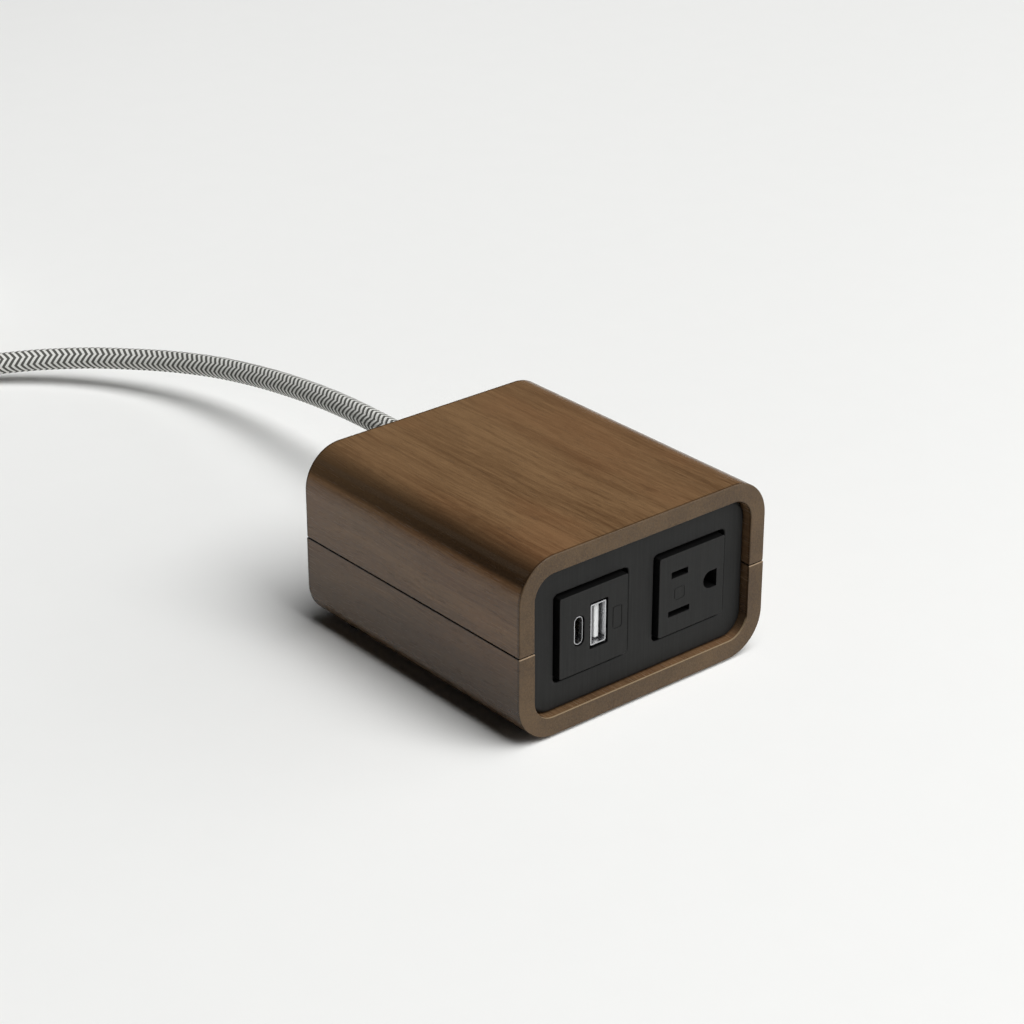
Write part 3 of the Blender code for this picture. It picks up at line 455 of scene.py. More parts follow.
# %% Mix the metals
def metal(name, dark, light, roughness, drawn_along="y"):
    """Drawn or turned metal: fine lines along one direction, and a little tarnish."""
    paint = Paint(name)
    x, y, z = paint.place()
    down, up = {"y": (0.04, 1), "z": (1, 0.04)}[drawn_along]
    drawn = paint.noise(paint.point(x, y * down, z * up), 1800.0, 3.0)
    tarnish = paint.noise(paint.point(x, y, z), 160.0, 3.0)
    colour = paint.blend(tarnish * 0.7 + drawn * 0.3, srgb(*dark), srgb(*light))
    return paint.finish(
        Base_Color=colour, Metallic=1.0, Roughness=roughness + drawn * 0.12,
        Normal=paint.bump(drawn, 0.000015, 0.4),
    )


steel = metal("drawn_steel", (168, 168, 170), (206, 206, 208), 0.20)
screw_steel = metal("screw_steel", (52, 52, 54), (78, 78, 80), 0.34, "z")
brass = metal("brass", (188, 150, 84), (222, 188, 118), 0.24)
copper = metal("enamelled_copper", (164, 92, 52), (206, 126, 78), 0.28, "z")
gold = metal("gold_contact", (206, 176, 112), (232, 206, 148), 0.22)


# %% Mix beech and the circuit board
def beech_finish():
    paint = Paint("beech")
    x, y, z = paint.place()
    flecks = paint.noise(paint.point(x * 1800, y * 1800, z * 160), 1.0, 3.0)
    colour = paint.blend(flecks, srgb(186, 150, 112), srgb(214, 182, 144))
    return paint.finish(
        Base_Color=colour, Roughness=0.60 + flecks * 0.1, Normal=paint.bump(flecks, 0.00004, 0.5)
    )


def board_finish():
    """Green solder resist with lighter copper tracks under it, on a millimetre grid."""
    paint = Paint("solder_resist")
    x, y, z = paint.place()
    wander = paint.noise(paint.point(x * 0, y, z), 70.0, 1.0)
    level = (y * 420 + wander * 3).wave().ramp(0.62, 0.70)
    upright = (z * 330 + wander * 2).wave().ramp(0.70, 0.78)
    track = level.larger(upright)
    colour = paint.blend(track, srgb(16, 66, 36), srgb(34, 104, 56))
    relief = paint.bump(track, 0.00003, 0.6)
    return paint.finish(Base_Color=colour, Roughness=0.34 + track * 0.08, Normal=relief)


beech = beech_finish()
solder_resist = board_finish()

# %% Give every solid its finish
FINISHES = {
    "walnut": walnut, "beech": beech, "rubber": soft_rubber, "steel": steel, "brass": brass,
    "black_plastic": black_moulding, "dark_nylon": dark_nylon, "light_plastic": pale_plastic,
    "board_green": solder_resist, "ferrite": ferrite, "winding_tape": winding_tape,
    "copper": copper, "capacitor_sleeve": capacitor_sleeve, "black_wire": black_insulation,
    "white_wire": white_insulation, "green_wire": green_insulation,
}
slot_of = {entry["node"]: entry["material_slot"] for entry in frame["record"]["subparts"]}
for name, solid in nodes.items():
    solid.data.materials.clear()
    solid.data.materials.append(FINISHES.get(slot_of[name], soft_rubber))
print(len(nodes), "solids finished")

# %% [markdown]
# ## Bench tools
# Every new piece starts as a primitive at its real size and place, is shaped in edit mode, and is
# finished with modifiers that are applied. These few helpers do what a hand does in the window:
# start a piece, select some of it, round its edges, and cut it with another.

# %% Helpers for modelling
def rest_hands():
    """Leave edit mode and select nothing."""
    if bpy.context.object and bpy.context.object.mode != "OBJECT":
        bpy.ops.object.mode_set(mode="OBJECT")
    bpy.ops.object.select_all(action="DESELECT")


def pick(piece):
    """Make one piece the selected and active one."""
    rest_hands()
    piece.select_set(True)
    bpy.context.view_layer.objects.active = piece
    return piece


def settle(piece):
    """Put a piece's place, turn and size into its mesh."""
    pick(piece)
    bpy.ops.object.transform_apply(location=True, rotation=True, scale=True)
    return piece


def discard(piece):
    """Throw a piece away."""
    bpy.data.objects.remove(piece, do_unlink=True)


def named(name, piece):
    """Name a piece and its mesh alike."""
    piece.name = name
    piece.data.name = name
    return piece


def add_box(name, low, high):
    """A box between two corners."""
    rest_hands()
    low, high = Vector(low), Vector(high)
    bpy.ops.mesh.primitive_cube_add(size=1.0, location=(low + high) / 2, scale=high - low)
    return settle(named(name, bpy.context.object))


def add_rod(name, radius, centre, length, axis="z", sides=32):
    """A round bar along one axis."""
    rest_hands()
    turn_to = {"x": (0, math.pi / 2, 0), "y": (math.pi / 2, 0, 0), "z": (0, 0, 0)}[axis]
    bpy.ops.mesh.primitive_cylinder_add(
        vertices=sides, radius=radius, depth=length, location=centre, rotation=turn_to
    )
    return settle(named(name, bpy.context.object))


def edit(piece, mode="EDGE"):
    """Open a piece in edit mode with nothing selected."""
    pick(piece)
    bpy.ops.object.mode_set(mode="EDIT")
    bpy.ops.mesh.select_mode(type=mode)
    bpy.ops.mesh.select_all(action="DESELECT")


def along(axis):
    """A test for edges that run along one axis."""
    def test(a, b):
        run = b - a
        return abs(run[axis]) > 0.999 * run.length
    return test


def round_edges(piece, wanted, radius, segments):
    """Round the edges whose two ends pass a test."""
    edit(piece)
    form = bmesh.from_edit_mesh(piece.data)
    for edge in form.edges:
        if wanted(edge.verts[0].co, edge.verts[1].co):
            edge.select_set(True)
    form.select_flush_mode()
    bmesh.update_edit_mesh(piece.data)
    bpy.ops.mesh.bevel(offset=radius, segments=segments, affect="EDGES", clamp_overlap=False)
    rest_hands()
    return piece


def round_along(piece, axis, radius, segments=8):
    """Round the edges that run along one axis."""
    return round_edges(piece, along(axis), radius, segments)


def edit_faces(piece, *directions):
    """Open a piece in edit mode with the faces that look in the given directions selected."""
    edit(piece, "FACE")
    form = bmesh.from_edit_mesh(piece.data)
    form.normal_update()
    for face in form.faces:
        face.select = any(face.normal.dot(Vector(direction)) > 0.9 for direction in directions)
    bmesh.update_edit_mesh(piece.data)


def extrude(x, y, z):
    """Pull the selected faces out by a vector."""
    bpy.ops.mesh.extrude_region_move(TRANSFORM_OT_translate={"value": (x, y, z)})


def face_outward():
    """Turn every face of the piece in edit mode outward, and leave edit mode."""
    bpy.ops.mesh.select_all(action="SELECT")
    bpy.ops.mesh.normals_make_consistent(inside=False)
    rest_hands()


def hollow_through(piece, thickness):
    """Turn a bar along Y into a tube: inset both ends, then bridge the two inner outlines."""
    edit_faces(piece, (0, -1, 0), (0, 1, 0))
    bpy.ops.mesh.inset(thickness=thickness, use_even_offset=True)
    bpy.ops.mesh.delete(type="ONLY_FACE")
    form = bmesh.from_edit_mesh(piece.data)
    for edge in form.edges:
        edge.select_set(edge.is_boundary)
    bmesh.update_edit_mesh(piece.data)
    bpy.ops.mesh.select_mode(type="EDGE")
    bpy.ops.mesh.bridge_edge_loops()
    face_outward()
    return piece


def turned(name, profile, sides=48):
    """Spin (radius, height) pairs round the Z axis; the first and last lie on the axis."""
    mesh = bpy.data.meshes.new(name)
    steps = [(i, i + 1) for i in range(len(profile) - 1)]
    mesh.from_pydata([(radius, 0, height) for radius, height in profile], steps, [])
    piece = add_object(name, mesh)
    edit(piece, "VERT")
    bpy.ops.mesh.select_all(action="SELECT")
    bpy.ops.mesh.spin(steps=sides, angle=2 * math.pi, center=(0, 0, 0), axis=(0, 0, 1))
    bpy.ops.mesh.select_all(action="SELECT")
    bpy.ops.mesh.remove_doubles(threshold=0.002 * MM)
    face_outward()
    pick(piece)
    bpy.ops.object.shade_smooth_by_angle(angle=math.radians(32))
    return piece


def joined(name, pieces):
    """Several small pieces as one."""
    rest_hands()
    for piece in pieces:
        piece.select_set(True)
    bpy.context.view_layer.objects.active = pieces[0]
    bpy.ops.object.join()
    return named(name, pieces[0])


def soften(piece, width, segments=3, angle=40.0):
    """Round every edge that is sharper than an angle, and let only the rounded edges shade round."""
    pick(piece)
    bevel = piece.modifiers.new("soften", "BEVEL")
    bevel.width = width
    bevel.segments = segments
    bevel.limit_method = "ANGLE"
    bevel.angle_limit = math.radians(angle)
    bevel.miter_outer = "MITER_ARC"
    bpy.ops.object.modifier_apply(modifier=bevel.name)
    bpy.ops.object.shade_smooth_by_angle(angle=math.radians(32))
    weighted = piece.modifiers.new("weighted", "WEIGHTED_NORMAL")
    weighted.keep_sharp = True
    weighted.weight = 100
    bpy.ops.object.modifier_apply(modifier=weighted.name)
    return piece


def carve(piece, *cutters):
    """Cut each cutter out of the piece and throw the cutter away."""
    for cutter in cutters:
        pick(piece)
        cutting = piece.modifiers.new("carve", "BOOLEAN")
        cutting.object = cutter
        cutting.solver = "EXACT"
        bpy.ops.object.modifier_apply(modifier=cutting.name)
        discard(cutter)
    return piece


def copy_of(piece, name, place=Matrix.Identity(4)):
    """A copy with its own mesh, moved into place."""
    mesh = piece.data.copy()
    mesh.name = name
    mesh.transform(place)
    return add_object(name, mesh)


def show(piece, finish, slot, *solids):
    """Give a piece its finish and its body, and hide the solids that it stands for."""
    rest_hands()
    piece.data.materials.clear()
    piece.data.materials.append(finish)
    for node in solids:
        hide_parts(node)
    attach(piece, "hub")
    return piece


# %% [markdown]
# ## The braided lead
# The lead has one real length and lies under its own weight: straight out of the strain relief,
# down to the table in an easy curve, and away. What isn't needed is wound in a flat coil of two
# layers, and the end rises from the coil into the plug. The stretches that aren't coiled are lists of
# points in millimetres, and the coil's turns come from a loop.

# %% Lay out the lead's route
CORD_RADIUS = 4.0 * MM
LEAD_ROUTE = [
    (20.5, 77, 30.2), (20.7, 92, 30.1), (21.6, 106, 29.5),
    (23, 122, 28.3), (24.4, 140, 26.4), (25.3, 160, 23.8),
    (25.4, 180, 20.9), (23.6, 200, 18.1), (20, 216, 15.9),
    (15, 230, 14), (8.6, 242.5, 12.4), (1.2, 254, 11.1),
    (-7, 263.8, 9.9), (-16, 272.6, 8.7), (-26.5, 281.5, 7.2),
    (-38, 291.5, 5.6), (-50, 303, 4.6), (-61.5, 316, 4.2),
    (-71.4, 330, 4.2), (-77.2, 340.5, 4.2), (-81.9, 352, 4.2),
    (-86, 368, 4.2),
]
TAIL_ROUTE = [
    (-45.7, 433.5, 13.4), (-28.3, 433.6, 15.7), (-13, 428.4, 19),
    (-3.25, 420.81, 22.2), (2.5, 410.85, 25.1), (4.49, 399.56, 27.6),
    (2.09, 387.2, 29.2), (-4.62, 376.78, 29.7),
]
COIL_CENTRE = Vector((-0.0370, 0.3840, 0.0))
COIL_OUTSIDE = 50.3 * MM
TURN_STEP = 8.2 * MM
LAYER_Z = (4.2 * MM, 12.5 * MM)
TIE_ANGLE = math.radians(150)
TIE_LIFT = (1.05 * MM, 0.65 * MM)
TIE_REACH = 0.32
TURNS_IN, RISE, TURNS_OUT = 2.0, 0.2, 2.0
POINTS_A_TURN = 20
SUBSTEPS = 16
FINE_STEP = 0.45 * MM


def coil_point(turns):
    """Where the lead is after so many turns: inward on the table, up a layer, and outward again."""
    angle = math.pi - 2 * math.pi * turns
    if turns <= TURNS_IN:
        radius, height = COIL_OUTSIDE - TURN_STEP * turns, LAYER_Z[0]
    elif turns <= TURNS_IN + RISE:
        share = (turns - TURNS_IN) / RISE
        radius = COIL_OUTSIDE - TURN_STEP * TURNS_IN
        height = LAYER_Z[0] + (LAYER_Z[1] - LAYER_Z[0]) * share * share * (3 - 2 * share)
    else:
        radius = COIL_OUTSIDE - TURN_STEP * TURNS_IN + TURN_STEP * (turns - TURNS_IN - RISE)
        height = LAYER_Z[1]
    from_tie = math.remainder(angle - TIE_ANGLE, 2 * math.pi)
    lift = TIE_LIFT[0] if turns < TURNS_IN + RISE / 2 else TIE_LIFT[1]
    height += lift * math.exp(-((from_tie / TIE_REACH) ** 2))
    return COIL_CENTRE + Vector((radius * math.cos(angle), radius * math.sin(angle), height))


def smooth_line(points, spacing):
    """Evenly spaced points on a smooth curve through the given ones."""
    ends = [2 * points[0] - points[1], *points, 2 * points[-1] - points[-2]]
    fine = []
    for before, start, stop, after in zip(ends, ends[1:], ends[2:], ends[3:]):
        for step in range(SUBSTEPS):
            t = step / SUBSTEPS
            fine.append(0.5 * (
                2 * start + (stop - before) * t
                + (2 * before - 5 * start + 4 * stop - after) * t ** 2
                + (3 * start - before - 3 * stop + after) * t ** 3
            ))
    fine.append(points[-1])
    travelled = [0.0]
    for a, b in zip(fine, fine[1:]):
        travelled.append(travelled[-1] + (b - a).length)
    count = round(travelled[-1] / spacing)
    even, i = [], 1
    for k in range(count + 1):
        wanted = min(travelled[-1] * k / count, travelled[-1])
        while i < len(fine) - 1 and travelled[i] < wanted:
            i += 1
        share = (wanted - travelled[i - 1]) / (travelled[i] - travelled[i - 1])
        even.append(fine[i - 1].lerp(fine[i], share))
    return even, travelled[-1]


coil_count = round((TURNS_IN + RISE + TURNS_OUT) * POINTS_A_TURN)
route = [Vector(mm(*point)) for point in LEAD_ROUTE]
route += [coil_point(k / POINTS_A_TURN) for k in range(coil_count + 1)]
route += [Vector(mm(*point)) for point in TAIL_ROUTE]
line, cord_length = smooth_line(route, FINE_STEP)
print(f"the lead is {cord_length:.3f} m long, in {len(line)} steps")

# %% [markdown]
# ## The braid
# The jacket is a herringbone braid: grey stripes step round the lead in a zigzag with four full
# waves. The tube is made ring by ring along the line, each point carries how far along and how far
# round it is, and each stripe stands a little proud, as real yarn does. In the coil the rings are
# further apart, and the yarn's relief is left to the finish.

# %% Make the lead's tube
STRIPE = 2.36 * MM
WAVES_ROUND = 4
YARN_RELIEF = 0.11 * MM
AROUND = 48
FINE_LENGTH = 345 * MM
FADE_LENGTH = 10 * MM
COARSE = 4


def yarn_height(distance, share_round):
    """The relief of the yarn, from -1 in a groove to 1 on a stripe's crown."""
    zigzag = 1 - abs(2 * ((share_round * WAVES_ROUND) % 1) - 1)
    phase = distance / STRIPE + zigzag
    crown = math.cos(4 * math.pi * phase)
    channel = math.cos(2 * math.pi * 2 * WAVES_ROUND * share_round)
    return 0.7 * crown - 0.3 * channel


fine_steps = round(FINE_LENGTH / FINE_STEP)
last = len(line) - 1
chosen = [*range(0, fine_steps), *range(fine_steps, last, COARSE), last]
spots = []
for i in chosen:
    before, after = line[max(i - 1, 0)], line[min(i + 1, last)]
    forward = (after - before).normalized()
    side = forward.cross(Vector((0, 0, 1))).normalized()
    up = side.cross(forward)
    distance = cord_length * i / last
    relief = YARN_RELIEF * min(1.0, max(0.0, (FINE_LENGTH - distance) / FADE_LENGTH))
    for k in range(AROUND):
        angle = 2 * math.pi * k / AROUND
        radius = CORD_RADIUS - YARN_RELIEF + relief * yarn_height(distance, k / AROUND)
        spots.append(line[i] + radius * (math.cos(angle) * side + math.sin(angle) * up))
faces = []
for row in range(len(chosen) - 1):
    for k in range(AROUND):
        a, b = row * AROUND + k, row * AROUND + (k + 1) % AROUND
        faces.append((a, b, b + AROUND, a + AROUND))
faces.append(tuple(range(AROUND))[::-1])
faces.append(tuple((len(chosen) - 1) * AROUND + k for k in range(AROUND)))
cord_mesh = bpy.data.meshes.new("braided_lead")
cord_mesh.from_pydata(spots, [], faces)
lay = cord_mesh.uv_layers.new(name="braid")
for number, face in enumerate(cord_mesh.polygons[:-2]):
    row, k = divmod(number, AROUND)
    corners = ((row, k), (row, k + 1), (row + 1, k + 1), (row + 1, k))
    for loop, (ring, place_round) in zip(face.loop_indices, corners):
        lay.data[loop].uv = (place_round / AROUND, cord_length * chosen[ring] / last)
cord_mesh.shade_smooth()
cord_mesh.update()
braided_lead = add_object("braided_lead", cord_mesh)
edit(braided_lead)
face_outward()
print(len(cord_mesh.polygons), "faces in the lead")


# %% Mix the braid
def braid_finish():
    """Grey and white yarn in a zigzag, with the weave's small steps and fuzz."""
    paint = Paint("herringbone_braid")
    round_lead, down_lead = paint.parts(paint.node("ShaderNodeUVMap", {"uv_map": "braid"}))[:2]
    zigzag = (round_lead * WAVES_ROUND).wave()
    fuzz = paint.noise(paint.point(round_lead * 26, down_lead * 1100, 0.0), 1.0, 2.0) - 0.5
    phase = down_lead / STRIPE + zigzag + fuzz * 0.10
    yarns = (phase * 4).wave()
    strands = (round_lead * 40 + down_lead * 420).wave()
    weave = yarns * 0.6 + strands * 0.4
    grey = paint.blend(weave, srgb(64, 64, 60), srgb(98, 98, 93))
    white = paint.blend(weave, srgb(205, 205, 200), srgb(238, 238, 234))
    colour = paint.blend(phase.wave().ramp(0.39, 0.59), white, grey)
    height = (phase * 2).wave() * 0.6 + yarns * 0.2 + strands * 0.2
    return paint.finish(
        Base_Color=colour, Roughness=0.86 + strands * 0.06, Normal=paint.bump(height, 0.00012, 0.6)
    )


herringbone = braid_finish()
show(braided_lead, herringbone, "braid", "cord_lead", "cord_coil", "cord_tail")

# %% [markdown]
# ## The walnut shells
# The case is one squared tube with round corners, cut in two at mid height. As a block, its four
# long edges are rounded, both ends are inset by the wall's thickness, and the two inner faces are
# bridged into the hollow. Cutting that one tube twice keeps the halves alike at the seam.

# %% Make the tube and cut it into halves
def walnut_tube():
    low, high = (-half_width, front_y, case_bottom), (half_width, back_y, case_top)
    tube = round_along(add_box("walnut_tube", low, high), 1, outer_radius, 22)
    return hollow_through(tube, wall)


def half_of(tube, name, keep_up):
    """The part of the tube above or below the seam, closed where it is cut."""
    half = copy_of(tube, name)
    edit(half)
    bpy.ops.mesh.select_all(action="SELECT")
    level = upper_low.z if keep_up else lower_high.z
    bpy.ops.mesh.bisect(
        plane_co=(0, 0, level), plane_no=(0, 0, 1), use_fill=True,
        clear_inner=keep_up, clear_outer=not keep_up,
    )
    rest_hands()
    return half


tube = walnut_tube()
upper_walnut = half_of(tube, "upper_walnut_shell", True)
lower_walnut = half_of(tube, "lower_walnut_shell", False)
discard(tube)
print(len(upper_walnut.data.polygons), "faces in the upper shell")

# %% Bore the underside and soften the edges
feet = [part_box(f"foot_{i}") for i in range(1, 5)]
case_screws = [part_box(f"case_screw_{i}") for i in range(1, 5)]
for boxes, radius, length, sides in ((feet, 6.3, 2, 48), (case_screws, 3.4, 5.2, 40)):
    for low, high in boxes:
        middle = (low + high) / 2
        place = (middle.x, middle.y, case_bottom)
        carve(lower_walnut, add_rod("bore", radius * MM, place, length * MM, sides=sides))
for half, node in ((upper_walnut, "upper_shell"), (lower_walnut, "lower_shell")):
    soften(half, lip_bevel)
    show(half, walnut, "walnut", node)

# %% [markdown]
# ## The black face and back
# The face is a plate set back inside the walnut. Its outer rim is rounded over generously, and two
# square windows let the inserts through. A window is cut with a box whose own long edges are
# rounded first, which rounds the corners of the hole. The back is a like plate, with a round hole
# for the lead and four for its screws.

# %% Make the two plates
inner_radius = 7.5 * MM


def rounded_plate(name, node, rim, at_front):
    """A plate with round corners, its outer rim rounded over."""
    low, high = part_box(node)
    plate = round_along(add_box(name, low, high), 1, inner_radius, 14)
    face_y = low.y if at_front else high.y

    def on_face(a, b):
        return max(abs(a.y - face_y), abs(b.y - face_y)) < TOUCHING

    return round_edges(plate, on_face, rim, 5)


def square_cutter(x, z, wide, high, radius):
    """A bar through the face, for a hole with round corners."""
    deep = 12 * MM
    low = (x - wide / 2, front_y - deep, z - high / 2)
    high = (x + wide / 2, front_y + deep, z + high / 2)
    return round_along(add_box("cutter", low, high), 1, radius)


WINDOW = 28.6 * MM
face_plate = rounded_plate("face_plate", "front_plate", 1.1 * MM, True)
for x in (usb_x, outlet_x):
    carve(face_plate, square_cutter(x, seam_z, WINDOW, WINDOW, 1.5 * MM))
soften(face_plate, 0.5 * MM, 4)
show(face_plate, black_face, "black_plastic", "front_plate")

back_plate = rounded_plate("back_plate", "rear_plate", 1.1 * MM, False)
relief_low, relief_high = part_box("strain_relief")
cord_x = (relief_low.x + relief_high.x) / 2
carve(back_plate, add_rod("cord_hole", 6.8 * MM, (cord_x, back_y, seam_z), 20 * MM, "y", 64))
back_screw_places = []
for i in range(1, 5):
    low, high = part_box(f"rear_screw_{i}")
    middle = (low + high) / 2
    back_screw_places.append(Vector((middle.x, high.y, middle.z)))
    carve(back_plate, add_rod("screw_hole", 1.8 * MM, middle, 40 * MM, "y", 32))
soften(back_plate, 0.3 * MM, 3)
show(back_plate, black_face, "black_plastic", "rear_plate")
print(len(face_plate.data.polygons), "faces in the face plate")

# %% [markdown]
# ## The inserts
# Both sockets sit in the same square insert: a flange that is held behind the plate, and a block
# that comes forward through the window and stands a little proud, with a dark gap round it. It
# starts as the flange: its front is inset, and the inner square is pulled forward. Each insert then
# gets its own holes, whose small rounded edges catch the light.

# %% Make the insert's blank
FLANGE_THICKNESS = 1.8 * MM
FLANGE_MARGIN = 2.1 * MM
ENGRAVING_DEPTH = 0.12 * MM


def insert_blank(name, low, high):
    step_y = high.y - FLANGE_THICKNESS
    blank = add_box(name, (low.x, step_y, low.z), high)
    edit_faces(blank, (0, -1, 0))
    bpy.ops.mesh.inset(thickness=FLANGE_MARGIN)
    extrude(0, low.y - step_y, 0)
    rest_hands()
    lengthways = along(1)
    round_edges(blank, lambda a, b: lengthways(a, b) and min(a.y, b.y) < step_y - 0.1 * MM, 0.6 * MM, 4)
    return round_edges(blank, lambda a, b: max(a.y, b.y) < low.y + TOUCHING, 0.2 * MM, 3)


def engrave_outline(piece, x, z, wide, high, line_width):
    """Cut a shallow rounded outline into the insert's face."""
    low = (x - wide / 2, usb_low.y - 1 * MM, z - high / 2)
    ring = add_box("outline", low, (x + wide / 2, usb_low.y + ENGRAVING_DEPTH, z + high / 2))
    carve(piece, hollow_through(round_along(ring, 1, 0.9 * MM, 5), line_width))


usb_insert = insert_blank("usb_insert", usb_low, usb_high)
outlet_insert = insert_blank("outlet_insert", outlet_low, outlet_high)

# %% Cut the charging ports' openings
c_low, c_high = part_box("usb_c_shell")
a_low, a_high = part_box("usb_a_shell")
port_z = (a_low.z + a_high.z) / 2
c_x = (c_low.x + c_high.x) / 2
a_x = (a_low.x + a_high.x) / 2
carve(usb_insert, square_cutter(c_x, port_z, 4.0 * MM, 9.8 * MM, 1.9 * MM))
carve(usb_insert, square_cutter(a_x, port_z, 7.0 * MM, 15.0 * MM, 0.4 * MM))
engrave_outline(usb_insert, usb_x + 8.95 * MM, seam_z + 0.3 * MM, 3.7 * MM, 7.6 * MM, 0.35 * MM)
soften(usb_insert, 0.16 * MM, 2)
show(usb_insert, black_face, "black_plastic", "usb_face")

# %% Cut the outlet's two slots and its ground hole
BLADE_X = outlet_x - 5.0 * MM
GROUND_X = outlet_x + 7.65 * MM
HALF_SPACING = 6.35 * MM
GROUND_RADIUS = 2.85 * MM
GROUND_SQUARE = 2.55 * MM


def ground_cutter():
    """Round on the left and square on the right."""
    place = (GROUND_X, front_y, seam_z)
    round_side = add_rod("round_side", GROUND_RADIUS, place, 24 * MM, "y", 64)
    edit(round_side)
    bpy.ops.mesh.select_all(action="SELECT")
    bpy.ops.mesh.bisect(plane_co=place, plane_no=(1, 0, 0), use_fill=True, clear_outer=True)
    edit_faces(round_side, (1, 0, 0))
    extrude(GROUND_SQUARE, 0, 0)
    rest_hands()
    return round_side


carve(outlet_insert, square_cutter(BLADE_X, seam_z + HALF_SPACING, 6.6 * MM, 2.1 * MM, 0.15 * MM))
carve(outlet_insert, square_cutter(BLADE_X, seam_z - HALF_SPACING, 8.5 * MM, 1.9 * MM, 0.15 * MM))
carve(outlet_insert, ground_cutter())
engrave_outline(outlet_insert, BLADE_X, seam_z - 0.2 * MM, 4.2 * MM, 4.2 * MM, 0.3 * MM)
soften(outlet_insert, 0.16 * MM, 2)
show(outlet_insert, black_face, "black_plastic", "outlet_face")
print(len(outlet_insert.data.polygons), "faces in the outlet's insert")

# %% [markdown]
# ## The ports
# Each port is a drawn steel shell round a thin tongue that carries gold contacts. The shell is a
# bar with round edges whose front is inset by the wall's thickness and pushed back inside.

# %% Make the shells and tongues
SHELL_SETBACK = 0.35 * MM
SHELL_BACK = 0.8 * MM


def drawn_shell(name, node, radius, thickness):
    low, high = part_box(node)
    low.y = usb_low.y + SHELL_SETBACK
    shell = round_along(add_box(name, low, high), 1, radius)
    edit_faces(shell, (0, -1, 0))
    bpy.ops.mesh.inset(thickness=thickness, use_even_offset=True)
    extrude(0, high.y - low.y - SHELL_BACK, 0)
    rest_hands()
    soften(shell, 0.08 * MM, 2)
    return show(shell, steel, "steel", node)


def tongue(name, node, finish, slot, tip):
    low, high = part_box(node)

    def at_tip(a, b):
        return max(a.y, b.y) < low.y + TOUCHING and abs(a.z - b.z) > tip

    piece = round_edges(add_box(name, low, high), at_tip, tip, 3)
    soften(piece, 0.06 * MM, 2)
    return show(piece, finish, slot, node)


def contact_row(name, node, sides, count, pitch, width, start, length):
    """A row of gold contacts, a hair proud of the tongue's faces."""
    low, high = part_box(node)
    middle_z = (low.z + high.z) / 2
    strips = []
    for side in sides:
        face_x = low.x if side < 0 else high.x
        strip = add_box(
            "strip", (face_x - 0.04 * MM, low.y + start, middle_z - width / 2),
            (face_x + 0.04 * MM, low.y + start + length, middle_z + width / 2),
        )
        soften(strip, 0.02 * MM, 1)
        for i in range(count):
            step = Matrix.Translation((0, 0, (i - (count - 1) / 2) * pitch))
            strips.append(copy_of(strip, "strip", step))
        discard(strip)
    return show(joined(name, strips), gold, "brass")


drawn_shell("usb_c_port", "usb_c_shell", 1.55 * MM, 0.3 * MM)
drawn_shell("usb_a_port", "usb_a_shell", 0.4 * MM, 0.4 * MM)
tongue("usb_c_blade", "usb_c_tongue", black_moulding, "black_plastic", 0.2 * MM)
tongue("usb_a_blade", "usb_a_tongue", pale_plastic, "light_plastic", 0.4 * MM)
contact_row("usb_c_contacts", "usb_c_tongue", (-1, 1), 12, 0.5 * MM, 0.25 * MM, 0.5 * MM, 4.0 * MM)
contact_row("usb_a_contacts", "usb_a_tongue", (-1,), 4, 2.3 * MM, 1.0 * MM, 1.4 * MM, 7.5 * MM)

# %% [markdown]
# ## Screws and feet
# A screw is a turned piece: half of its outline is drawn once and spun round. The thread is a
# zigzag in that outline, and the cross in its head is cut after. One screw serves all eight places.

# %% Turn the screw and copy it
screw_outline = [(0, 0), (1.2, -0.03), (2.0, -0.22), (2.55, -0.62), (2.78, -1.2), (2.8, -1.9)]
screw_outline += [(2.7, -2.0), (1.5, -2.0)]
for turn_down in range(8):
    screw_outline += [(1.5, -2.6 - turn_down), (1.15, -3.0 - turn_down), (1.5, -3.4 - turn_down)]
screw_outline += [(0.7, -10.8), (0, -11)]
screw = turned("screw", [mm(*point) for point in screw_outline])
for wide, high in ((3.2, 0.62), (0.62, 3.2)):
    arm = add_box("arm", mm(-wide / 2, -high / 2, -1.1), mm(wide / 2, high / 2, 1))
    edit_faces(arm, (0, 0, -1))
    bpy.ops.transform.resize(value=(0.55, 0.55, 1), center_override=(0, 0, -1.1 * MM))
    rest_hands()
    carve(screw, arm)
soften(screw, 0.06 * MM, 2, 50)
outward = Matrix.Rotation(-math.pi / 2, 4, "X")
downward = Matrix.Rotation(math.pi, 4, "X")
base_screw_places = [Vector(((low.x + high.x) / 2, (low.y + high.y) / 2, low.z)) for low, high in case_screws]
for name, node, places, way, lean_step in (
    ("back_screw", "rear_screw", back_screw_places, outward, 0.5),
    ("base_screw", "case_screw", base_screw_places, downward, 0.9),
):
    for i, spot in enumerate(places, 1):
        place = Matrix.Translation(spot) @ way @ Matrix.Rotation(lean_step * i, 4, "Z")
        placed = copy_of(screw, f"{name}_{i}", place)
        show(placed, screw_steel, "steel", f"{node}_{i}")
discard(screw)

# %% Turn the feet
foot_outline = [
    (0, 1.7), (5.9, 1.7), (6.0, 1.6), (6.0, 0.6), (5.92, 0.3), (5.7, 0.1), (5.35, 0.0),
    (4.1, 0.0), (3.9, 0.06), (3.7, 0.22), (0, 0.22),
]
foot = turned("foot", [mm(*point) for point in foot_outline], 64)
for i, (low, high) in enumerate(feet, 1):
    spot = Vector(((low.x + high.x) / 2, (low.y + high.y) / 2, 0))
    placed = copy_of(foot, f"rubber_foot_{i}", Matrix.Translation(spot))
    show(placed, soft_rubber, "rubber", f"foot_{i}")
discard(foot)

